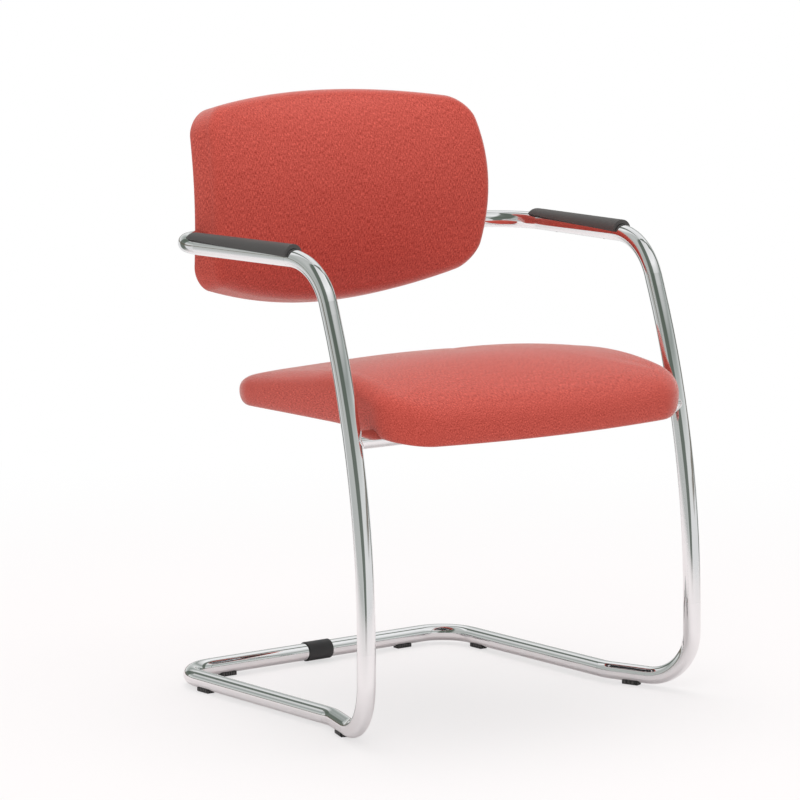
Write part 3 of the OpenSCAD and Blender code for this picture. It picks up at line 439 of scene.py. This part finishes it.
def blow_up(piece, pinned, cap=0.003, passes=4):
    end = under_pressure(piece, pinned)
    start = np.array([v.co for v in piece.data.vertices])
    normal = np.array([v.normal for v in piece.data.vertices])
    edges = np.array([e.vertices for e in piece.data.edges])
    fixed = np.isin(np.arange(len(start)), pinned)
    swell = np.clip(((end - start) * normal).sum(1), 0, cap)
    for _ in range(passes):
        total, count = swell.copy(), np.ones(len(swell))
        for a, b in ((0, 1), (1, 0)):
            np.add.at(total, edges[:, a], swell[edges[:, b]])
            np.add.at(count, edges[:, a], 1)
        swell = np.where(fixed, 0, total / count)
    moved = start + normal * swell[:, None]
    piece.data.vertices.foreach_set("co", moved.astype(np.float32).ravel())
    piece.data.update()
    middle, most, furthest = (round(float(v) / MM, 1) for v in np.percentile(swell, (50, 90, 100)))
    print(piece.name, "swelled by", middle, most, furthest, "mm: middle, most and furthest points")


def soften(piece):
    sub = piece.modifiers.new("soften", "SUBSURF")
    sub.levels = sub.render_levels = 1

THINNER = 2.0
print("pads start", THINNER, "mm too thin")

# %% [markdown]
# ## The seat cushion
# Moulded foam on a bent plywood board, covered in one piece of cloth that wraps under the
# board's edge. Its widest line falls to the rear and drops in a soft lip at the front, where it
# must not press into the sitter's legs. The heights below are the CAD model's own, in
# millimetres, counted from the cross tube that carries the seat.

# %% Seat sizes and surfaces
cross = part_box("seat_cross_tube")
cross_y = (cross[0].y + cross[1].y) / 2 / MM
cross_z = (cross[0].z + cross[1].z) / 2 / MM
SEAT_HALF_FRONT, SEAT_HALF_REAR = 265.8, 223.8
SEAT_LENGTH = 445.1
FRONT_BULGE, REAR_BULGE = 17.1, 14.2
front = cross_y - 68.4
rear = front + SEAT_LENGTH
SEAT = dict(low_w=SEAT_HALF_FRONT, high_w=SEAT_HALF_REAR, low=front, high=rear,
            low_b=FRONT_BULGE, high_b=REAR_BULGE, side_b=-1.9, low_r=61, high_r=60)
BOARD_UP = 12.5 + 0.7 + 1 + 0.1 + 12     # the tube's radius, a gap, the felt, a gap, the board
BOARD_BEND = 130                         # radius of the board's front bend

def seat_line(y, up, slope, lip_length, lip_drop):
    """A line that falls to the rear by slope degrees and drops over the lip at the front."""
    back_from_front = y - front
    return (cross_z + up - math.tan(math.radians(slope)) * back_from_front
            - lip_drop * (np.maximum(0, lip_length - back_from_front) / lip_length) ** 2)


def seat_widest(y):
    return seat_line(y, up=75.1, slope=7, lip_length=222, lip_drop=58)


def seat_rim(y):
    return seat_line(y, up=10.5, slope=1, lip_length=184, lip_drop=19.8)


def seat_top(y):
    return seat_widest(y) + 27.6 - 4.5 * (y - front) / SEAT_LENGTH


def board_top(y):
    bend, top = cross_y - 15, cross_z + BOARD_UP
    curve = np.sqrt(BOARD_BEND ** 2 - np.minimum(0, y - bend) ** 2)
    return np.where(y >= bend, top, top - BOARD_BEND + curve)

print("cross tube at", round(cross_y, 1), round(cross_z, 1),
      "seat from", round(front, 1), "to", round(rear, 1))

# %% [markdown]
# The seat's rings start in the pocket that the board fills, cross the rim below, go round the
# edge and end at the crown. The upper edge is rolled as a fuller curve than a quarter circle,
# which a power just under 1 on its sine and cosine gives.

# %% Seat rings
POCKET = 20.3                            # the board's pocket, in from the outline
LOW_ROLL, TOP_ROLL = 11.2, 36.7          # how far the edge rolls in, below and above
FULLER = 0.8
SEAT_CROWN = 12.5
BOARD_GAP = 0.7
CLOTH_WIDEST, CLOTH_RIM, CLOTH_POCKET = 52, 90, 100     # cloth out to each line
NEAR_EDGE = (0.98, 0.95, 0.91, 0.86, 0.8, 0.73, 0.65, 0.56, 0.47, 0.38, 0.29, 0.2, 0.12, 0.05)

def seat_rings(thinner):
    loop = pad_outline(**SEAT)
    normal = outward(loop)
    middle = np.array([0, (front + rear) / 2])
    rings, flats = [], []

    def add(p, z, flat):
        rings.append(np.column_stack([p, z]))
        flats.append(flat)

    pocket = loop - normal * POCKET
    for s in (0.3, 0.6, 0.8, 0.9, 0.95, 1.0):
        p = middle + (pocket - middle) * s
        add(p, board_top(p[:, 1]) + BOARD_GAP, p)
    for s in np.linspace(0, 1, 4):
        p = pocket + (loop - normal * LOW_ROLL - pocket) * s
        add(p, seat_rim(p[:, 1]), loop + normal * (CLOTH_POCKET - 9 * s))
    for a in np.radians(np.linspace(90, 0, 8)[1:]):
        p = loop - normal * (LOW_ROLL * (1 - math.cos(a)))
        z = seat_widest(p[:, 1]) - (seat_widest(p[:, 1]) - seat_rim(p[:, 1])) * math.sin(a)
        add(p, z, loop + normal * (CLOTH_WIDEST + (CLOTH_RIM - CLOTH_WIDEST) * math.sin(a)))
    for a in np.radians(np.linspace(0, 90, 13)[1:]):
        out, up = max(0.0, math.cos(a)) ** FULLER, math.sin(a) ** FULLER
        p = loop - normal * (TOP_ROLL * (1 - out))
        z = seat_widest(p[:, 1]) + (seat_top(p[:, 1]) - seat_widest(p[:, 1])) * up
        rolled = math.sin(a) / 2 + a / math.pi
        add(p, z - thinner * math.sin(a),
            loop + normal * (CLOTH_WIDEST - (CLOTH_WIDEST + TOP_ROLL) * rolled))
    top = loop - normal * TOP_ROLL
    for s in NEAR_EDGE:
        p = middle + (top - middle) * s
        share = crown_share(p, SEAT_HALF_FRONT - TOP_ROLL, SEAT_HALF_REAR - TOP_ROLL,
                            front + TOP_ROLL, rear - TOP_ROLL, FRONT_BULGE, REAR_BULGE)
        add(p, seat_top(p[:, 1]) + SEAT_CROWN * share - thinner, p)
    under = [0, middle[1], float(board_top(middle[1])) + BOARD_GAP]
    crown = [0, middle[1], float(seat_top(middle[1])) + SEAT_CROWN - thinner]
    return rings, flats, under, crown

SEAT_POCKET_RINGS = 6
SEAT_HELD_RINGS = 14                     # up to the widest line
rings, flats, under, crown = seat_rings(THINNER)
seat = skin("seat_upholstery", rings, flats, under, crown, SEAT_POCKET_RINGS)
blow_up(seat, list(range(SEAT_HELD_RINGS * len(rings[0]))) + [len(seat.data.vertices) - 2])
dress(seat, red_cloth)
soften(seat)
print("seat:", len(seat.data.polygons), "faces")

# %% [markdown]
# ## The back cushion
# The back is curved both ways. Its sides come forward round the sitter, and its height follows
# the small of the back. The rear bar of the frame runs inside it, so the pad is one closed form
# that the tube enters at both sides. Its sizes are in millimetres, counted from a point in the
# middle of the sheet where the front and rear foams meet.

# %% Back sizes and surface
BACK = dict(low_w=235.9, high_w=232.6, low=-164.8, high=73.9, low_b=31.7, high_b=26.8,
            side_b=12.1, low_r=26.6, high_r=33.4)
LEAN = math.radians(13.4)
bar_y, BAR_Z = cross_y + 403.8, 643.4
back_y, back_z = bar_y + 3.9, BAR_Z + 103.2
WRAP_ROUND, LUMBAR = 22.3, 49.4          # how far the sheet bends forward and back at its ends

def back_surface(p, off, crown=0.0, roll=0.0):
    """The curved base sheet of the back, moved forward by off and crowned towards its middle."""
    n = WRAP_ROUND * (p[:, 0] / BACK["low_w"]) ** 2 - LUMBAR * (p[:, 1] / BACK["low"]) ** 2 + off
    if crown:
        low_w, high_w = (BACK[end] + BACK["side_b"] - roll for end in ("low_w", "high_w"))
        n = n + crown * crown_share(p, low_w, high_w, BACK["low"] + roll, BACK["high"] - roll,
                                    BACK["low_b"], BACK["high_b"])
    return np.column_stack([p[:, 0],
                            back_y + p[:, 1] * math.sin(LEAN) - n * math.cos(LEAN),
                            back_z + p[:, 1] * math.cos(LEAN) + n * math.sin(LEAN)])


def rear_depth(p):
    """The rear foam is 24 mm deep at the edge, and fuller towards the two sides."""
    return 24 + 9.5 * np.minimum(1, np.abs(p[:, 0]) / 246) ** 3

SIDE_FLARE = 4.6                         # the sides widen towards the rear
back_loop = pad_outline(**BACK)
back_normal = outward(back_loop)
flare = SIDE_FLARE * back_normal * back_normal[:, :1] ** 2
rear_loop = back_loop + flare
back_middle = np.array([0.0, -45.4])
print("back", round(float(np.ptp(back_loop[:, 0]))), "wide and",
      round(float(np.ptp(back_loop[:, 1]))), "tall")

# %% [markdown]
# The front cover is drawn round the edge and sewn to a separate rear panel. The seam is a fine
# groove, so a few close rings with the middle ones sunk make it. Its place is 11 mm in from the
# edge of the rear face, where a hand doesn't rub on it.

# %% Back rings
SEAM_IN = 11.0
SEAM_RINGS = ((15, 0), (12.6, 0), (11.9, 0.1), (11.4, 0.7), (SEAM_IN, 1.5), (10.6, 0.7),
              (10.1, 0.1), (9.4, 0))     # distance in from the edge, and depth of the groove
REAR_CROWN, REAR_ROLL = -4, 6
FRONT_FOAM, FRONT_CROWN, FRONT_ROLL = 20, 18, 13.5
PANEL_ASIDE = 700                        # the rear panel lies apart on the flat cloth
CLOTH_FRONT, CLOTH_SIDE, CLOTH_SEAM = 28, 30, 70
BACK_PANEL_RINGS = 17                    # up to the bottom of the groove

def rear_face(p, sunk=0.0):
    return back_surface(p, -rear_depth(p) - REAR_ROLL + sunk, REAR_CROWN, REAR_ROLL)


def front_face(p, thinner):
    return back_surface(p, FRONT_FOAM - thinner, FRONT_CROWN, FRONT_ROLL)


def back_rings(thinner):
    """The rings, their places on the cloth, and for each whether it is held."""
    rings, flats, firm = [], [], []

    def add(ring, flat, held):
        rings.append(ring)
        flats.append(flat)
        firm.append(held)

    panel = rear_loop - back_normal * SEAM_RINGS[0][0] - back_middle
    for s in NEAR_EDGE[:1:-1]:
        p = back_middle + panel * s
        add(rear_face(p, thinner * (1 - s)), p + PANEL_ASIDE, False)
    for inset, sunk in SEAM_RINGS:
        p = rear_loop - back_normal * inset
        wrapped = back_loop + back_normal * (CLOTH_SEAM - inset)
        add(rear_face(p, sunk), p + PANEL_ASIDE if inset > SEAM_IN else wrapped, True)
    for a in np.radians(np.linspace(90, 0, 7)):
        p = rear_loop - back_normal * REAR_ROLL * (1 - math.cos(a))
        wrapped = back_loop + back_normal * (CLOTH_FRONT + CLOTH_SIDE + REAR_ROLL * math.sin(a))
        add(back_surface(p, -rear_depth(p) - REAR_ROLL * math.sin(a)), wrapped, True)
    for s in (0.75, 0.5, 0.25, 0):
        p = back_loop + flare * math.sin(s * math.pi / 2)
        wrapped = back_loop + back_normal * (CLOTH_FRONT + CLOTH_SIDE * s)
        add(back_surface(p, -rear_depth(p) * s), wrapped, True)
    for a in np.radians(np.linspace(0, 90, 11)[1:]):
        p = back_loop - back_normal * FRONT_ROLL * (1 - math.cos(a))
        rolled = (CLOTH_FRONT + FRONT_ROLL) * a / (math.pi / 2)
        add(back_surface(p, (FRONT_FOAM - thinner) * math.sin(a)),
            back_loop + back_normal * (CLOTH_FRONT - rolled), False)
    for s in NEAR_EDGE:
        p = back_middle + (back_loop - back_normal * FRONT_ROLL - back_middle) * s
        add(front_face(p, thinner), p, False)
    middle = np.array([back_middle])
    return rings, flats, firm, rear_face(middle, thinner)[0], front_face(middle, thinner)[0]

rings, flats, firm, under, crown = back_rings(THINNER)
around = len(rings[0])
back = skin("back_upholstery", rings, flats, under, crown, BACK_PANEL_RINGS)
blow_up(back, [k * around + n for k, still in enumerate(firm) if still for n in range(around)])
dress(back, red_cloth)
soften(back)
print("back:", len(back.data.polygons), "faces")

# %% [markdown]
# ## Stitches and weld beads
# Both repeat along a closed path: a stitch of thread every few millimetres inside the seam, and
# the overlapping ripples of a weld. A Geometry Nodes tree does that: it spaces points evenly on
# the path, sets one small rounded bead on each, turns it along the path and makes them all real.

# %% A tree that sets beads along a path
def bead_tree():
    tree = bpy.data.node_groups.new("beads_along_path", "GeometryNodeTree")
    face = tree.interface
    face.new_socket("Path", in_out="INPUT", socket_type="NodeSocketGeometry")
    for name, start in (("Pitch", 0.004), ("Length", 0.003), ("Thickness", 0.0007)):
        socket = face.new_socket(name, in_out="INPUT", socket_type="NodeSocketFloat")
        socket.default_value = start
    face.new_socket("Finish", in_out="INPUT", socket_type="NodeSocketMaterial")
    face.new_socket("Beads", in_out="OUTPUT", socket_type="NodeSocketGeometry")
    new = tree.nodes.new
    ends = new("NodeGroupInput"), new("NodeGroupOutput")

    def link(a, out, b, into):
        tree.links.new(a.outputs[out], b.inputs[into])

    curve, spaced = new("GeometryNodeMeshToCurve"), new("GeometryNodeResampleCurve")
    spaced.mode = "LENGTH"
    tangent, turn = new("GeometryNodeInputTangent"), new("FunctionNodeAlignEulerToVector")
    turn.axis = "X"
    ball, size = new("GeometryNodeMeshUVSphere"), new("ShaderNodeCombineXYZ")
    for name, value in (("Segments", 8), ("Rings", 6), ("Radius", 0.5)):
        ball.inputs[name].default_value = value
    placed, real = new("GeometryNodeInstanceOnPoints"), new("GeometryNodeRealizeInstances")
    smooth, coat = new("GeometryNodeSetShadeSmooth"), new("GeometryNodeSetMaterial")
    link(ends[0], "Path", curve, "Mesh")
    link(curve, 0, spaced, "Curve")
    link(ends[0], "Pitch", spaced, "Length")
    link(spaced, 0, placed, "Points")
    link(ball, "Mesh", placed, "Instance")
    link(tangent, 0, turn, "Vector")
    link(turn, 0, placed, "Rotation")
    link(ends[0], "Length", size, "X")
    for axis in "YZ":
        link(ends[0], "Thickness", size, axis)
    link(size, 0, placed, "Scale")
    link(placed, 0, real, 0)
    link(real, 0, smooth, 0)
    link(smooth, 0, coat, 0)
    link(ends[0], "Finish", coat, "Material")
    link(coat, 0, ends[1], 0)
    return tree

BEADS = bead_tree()
print("bead tree:", len(BEADS.nodes), "nodes")

# %% [markdown]
# The path goes in as a loop of edges. The tree's inputs are set by their identifiers, and the
# result is turned into a plain mesh, so that no modifier is left on the piece.

# %% Beads on closed paths
def beads(name, paths, pitch, length, thickness, finish):
    """paths: closed loops of points in metres. Returns one plain mesh object."""
    points, edges = [], []
    for path in paths:
        first = len(points)
        points += [tuple(p) for p in path]
        edges += [(first + k, first + (k + 1) % len(path)) for k in range(len(path))]
    mesh = bpy.data.meshes.new(name + "_path")
    mesh.from_pydata(points, edges, [])
    guide = bpy.data.objects.new(name + "_path", mesh)
    bpy.context.scene.collection.objects.link(guide)
    run = guide.modifiers.new("beads", "NODES")
    run.node_group = BEADS
    values = {"Pitch": pitch, "Length": length, "Thickness": thickness, "Finish": finish.material}
    for item in BEADS.interface.items_tree:
        if item.in_out == "INPUT" and item.name in values:
            run[item.identifier] = values[item.name]
    posed = guide.evaluated_get(bpy.context.evaluated_depsgraph_get())
    done = bpy.data.meshes.new_from_object(posed)
    piece = bpy.data.objects.new(name, done)
    bpy.context.scene.collection.objects.link(piece)
    bpy.data.objects.remove(guide)
    print(name, len(done.polygons), "faces")
    return piece

# %% [markdown]
# The seam of the back is topstitched with red thread, three millimetres inside the groove. The
# thread is a little duller than the cloth, and its twist shows as fine light and dark.

# %% Stitches
thread = new_finish("red_thread")
twist = thread.noise(thread.place(), scale=2600.0)
thread.set(Base_Color=thread.mix(twist, rgb(120, 26, 22), rgb(186, 62, 50)),
           Roughness=twist * 0.2 + 0.55)
thread.bump(twist, strength=0.3, distance=0.0003)
stitch_line = rear_face(rear_loop - back_normal * (SEAM_IN + 3.0), 0.1) * MM
stitches = beads("back_stitches", [stitch_line], pitch=0.0042, length=0.0031, thickness=0.0008,
                 finish=thread)

# %% [markdown]
# The cross tube is welded to the legs before the frame is plated, so the beads are chrome too.
# Each bead's path is where the tube meets the leg. It is found by looking along the cross tube
# from every side and noting where the look lands on the leg. The ring that the looks start from
# is a little narrower than the tube, so that none of them passes the leg by.

# %% Weld paths
def shape_of(node):
    mesh = NODES[node].data
    return BVHTree.FromPolygons([v.co for v in mesh.vertices], [p.vertices for p in mesh.polygons])


def weld_path(shape, middle, radius, across, up, way, steps=40):
    """Looks along way from a ring round middle and returns where the looks land."""
    path = []
    for k in range(steps):
        a = 2 * math.pi * k / steps
        ring = (Vector(across) * math.cos(a) + Vector(up) * math.sin(a)) * radius
        hit = shape.ray_cast(Vector(middle) + ring, Vector(way))[0]
        if hit is None:
            raise ValueError("a weld path missed its tube")
        path.append(hit)
    return path

print("weld helpers ready")

# %% [markdown]
# The hoop under the seat butts against the back of the cross tube at two places. Its beads are
# thinner, because the hoop's tube is, and zinc plated with it.

# %% Weld beads
CROSS_RING, HOOP_RING = 0.0119, 0.0096
HOOP_RADIUS = 0.010
legs = shape_of("frame_tube")
leg_paths = [weld_path(legs, (side * 0.25, cross_y * MM, cross_z * MM), CROSS_RING,
                       (0, 1, 0), (0, 0, 1), (side, 0, 0)) for side in (-1, 1)]
leg_welds = beads("cross_tube_welds", leg_paths, pitch=0.0019, length=0.0034, thickness=0.0036,
                  finish=chrome)

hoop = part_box("seat_hoop")
hoop_x, hoop_z = hoop[1].x - HOOP_RADIUS, hoop[0].z + HOOP_RADIUS
cross_tube = shape_of("seat_cross_tube")
hoop_paths = [weld_path(cross_tube, (side * hoop_x, cross_y * MM + 0.03, hoop_z), HOOP_RING,
                        (1, 0, 0), (0, 0, 1), (0, -1, 0)) for side in (-1, 1)]
hoop_welds = beads("hoop_welds", hoop_paths, pitch=0.0019, length=0.0032, thickness=0.0028,
                   finish=zinc)

# %% [markdown]
# ## What rides on what
# The chair is one rigid body, so every piece rides on its only body. Each pad stands for the CAD
# solids that it replaces.

for piece, stands_for in ((seat, ["seat_cushion"]), (back, ["back_front_pad", "back_rear_pad"])):
    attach(piece, "root")
    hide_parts(*stands_for)
for piece, slot in ((stitches, "red_fabric"), (leg_welds, "chrome_tube"),
                    (hoop_welds, "plain_steel")):
    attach(piece, "root")

# %% [markdown]
# ## Studio
# The picture was taken from in front and to the left, slightly from above, with a long lens.
# The room is white, with one broad soft light overhead and a weaker one at the front left. The
# floor keeps the chair's soft shadow. Further away, the eye and the chrome see through to the
# white of the room, so no edge of the floor shows.

# %% Floor
FLOOR_HALF = 60.0
NEAR, FAR = 0.7, 2.2                     # metres from the chair, where the fade starts and ends
EVEN = 0.6                               # the share of plain white near the chair

def studio_floor():
    mesh = bpy.data.meshes.new("floor")
    corners = ((-1, -1), (1, -1), (1, 1), (-1, 1))
    mesh.from_pydata([(x * FLOOR_HALF, y * FLOOR_HALF, 0) for x, y in corners], [], [(0, 1, 2, 3)])
    floor = bpy.data.objects.new("floor", mesh)
    bpy.context.scene.collection.objects.link(floor)
    net = new_finish("floor_white")
    net.set(Base_Color=rgb(249, 242, 242), Roughness=0.7)
    away = net.node("ShaderNodeVectorMath", {"operation": "LENGTH"}, {0: net.place()}, "Value")
    fade = ((away - NEAR) / (FAR - NEAR)).clamp()
    fade = fade * fade * (3.0 - fade * 2.0)
    seen = net.node("ShaderNodeLightPath", out="Is Camera Ray")
    mirrored = net.node("ShaderNodeLightPath", out="Is Glossy Ray")
    white = net.node("ShaderNodeEmission", {}, {"Color": (1, 1, 1, 1), "Strength": 1.0})
    clear = net.node("ShaderNodeBsdfTransparent")
    paint = net.blend((fade * (1.0 - EVEN) + EVEN) * seen, Value(net, net.shader.outputs[0]), white)
    paint = net.blend(fade * mirrored, paint, clear)
    net.plug(paint, net.tree.nodes["Material Output"].inputs["Surface"])
    dress(floor, net)
    return floor

floor = studio_floor()
print("floor:", len(floor.data.polygons), "face")

# %% [markdown]
# Chrome shows the room round it, and an all-white room would make it vanish. So mirror rays, and
# only they, meet a room with grey walls, a few dark gaps and a dark skirting line. The tube
# bends them into its long grey and dark streaks. Turns are counted from the corner that the
# camera looks from.

# %% The room that the chrome shows
CORNER = (-0.6225, -0.7826)              # the way to the front left corner
DOME = [(0.0, (0.80, 0.80, 0.80)), (0.12, (0.76, 0.77, 0.76)), (0.26, (0.50, 0.53, 0.51)),
        (0.36, (0.32, 0.35, 0.33)), (0.46, (0.62, 0.63, 0.62)), (0.7, (1.0, 1.0, 1.0)),
        (1.0, (0.78, 0.78, 0.78))]       # from the floor line up to the ceiling

def band(turn, centre, width, sharp=3.0):
    """1 where the turn is near the centre, 0 beyond the width."""
    return ((1.0 - (turn - centre).size() / width) * sharp).clamp()


def chrome_room(net):
    """The colour of the room in each direction."""
    x, y, z = net.split(net.node("ShaderNodeTexCoord", out="Generated"))
    ahead = x * CORNER[0] + y * CORNER[1]
    left = x * CORNER[1] + y * -CORNER[0]
    turn = left.angle(ahead)
    dome = net.node("ShaderNodeValToRGB", {"stops": DOME}, {0: z.clamp()}, "Color")
    walls = net.mix(band(turn, 1.05, 0.85, 4.0) * 0.8, dome, (0.46, 0.48, 0.46, 1))
    rise = (z * 4.0 + 0.4).clamp()
    gaps = (band(turn, z.clamp() * 0.7, rise * 0.34 + 0.26) + band(turn, 2.35, 0.24)
            + band(turn, -2.2, 0.2))
    gapped = net.mix(gaps.clamp() * 0.9, walls, (0.09, 0.115, 0.09, 1))
    line = ((1.0 - (z - 0.03).size() / 0.045) * 2.5).clamp()
    skirting = line * (band(turn, 0.0, 1.25, 6.0) * -1.0 + 1.0)
    return net.mix(skirting * 0.85, gapped, (0.14, 0.12, 0.085, 1))

print("room:", len(DOME), "greys from floor to ceiling")

# %% [markdown]
# Matt surfaces take an even white light from the room, a little under full strength, and the
# camera sees plain white behind the chair. Light Path tells these rays apart. The two lamps are
# hidden from mirror rays, because their squares would show in the chrome.

# %% World and lamps
ROOM = 0.75
WHITE = (1, 1, 1, 1)

def studio_world():
    world = bpy.data.worlds.new("studio_room")
    bpy.context.scene.world = world
    net = Net(world)
    light = net.tree.nodes["Background"]
    net.plug(WHITE, light.inputs["Color"])
    net.plug(ROOM, light.inputs["Strength"])
    shown = Value(net, light.outputs[0])
    for ray, colour in (("Is Glossy Ray", chrome_room(net)), ("Is Camera Ray", WHITE)):
        path = net.node("ShaderNodeLightPath", out=ray)
        face = net.node("ShaderNodeBackground", {}, {"Color": colour, "Strength": 1.0})
        shown = net.blend(path, shown, face)
    net.plug(shown, net.tree.nodes["World Output"].inputs["Surface"])


def area_light(name, place, aim, size, power):
    data = bpy.data.lights.new(name, "AREA")
    data.shape, data.size, data.energy = "SQUARE", size, power
    lamp = bpy.data.objects.new(name, data)
    lamp.location = place
    lamp.rotation_euler = (Vector(aim) - Vector(place)).to_track_quat("-Z", "Y").to_euler()
    lamp.visible_glossy = False
    bpy.context.scene.collection.objects.link(lamp)

studio_world()
area_light("overhead", (0.3, 0.3, 3.0), aim=(0, 0, 0.4), size=2.6, power=38)
area_light("front_left", (-2.6, -2.4, 2.4), aim=(0, 0, 0.5), size=1.6, power=22)

# %% [markdown]
# The camera stands where the photograph's did. It was fitted to a model whose rear bar lay
# 186.2 mm behind the origin, so it moves with the bar.

# %% Camera
FITTED_BAR_Y = 186.2
camera_data = bpy.data.cameras.new("camera")
camera_data.lens, camera_data.sensor_width = 167.02, 36.0
camera = bpy.data.objects.new("camera", camera_data)
camera.location = (-3.21069, -4.04572 + (bar_y - FITTED_BAR_Y) * MM, 1.14035)
camera.rotation_euler = (math.radians(90 - 7.991), 0, math.radians(-38.104))
bpy.context.scene.collection.objects.link(camera)
bpy.context.scene.camera = camera
bpy.context.scene.view_settings.view_transform = "Standard"
print("camera at", [round(v, 3) for v in camera.location])
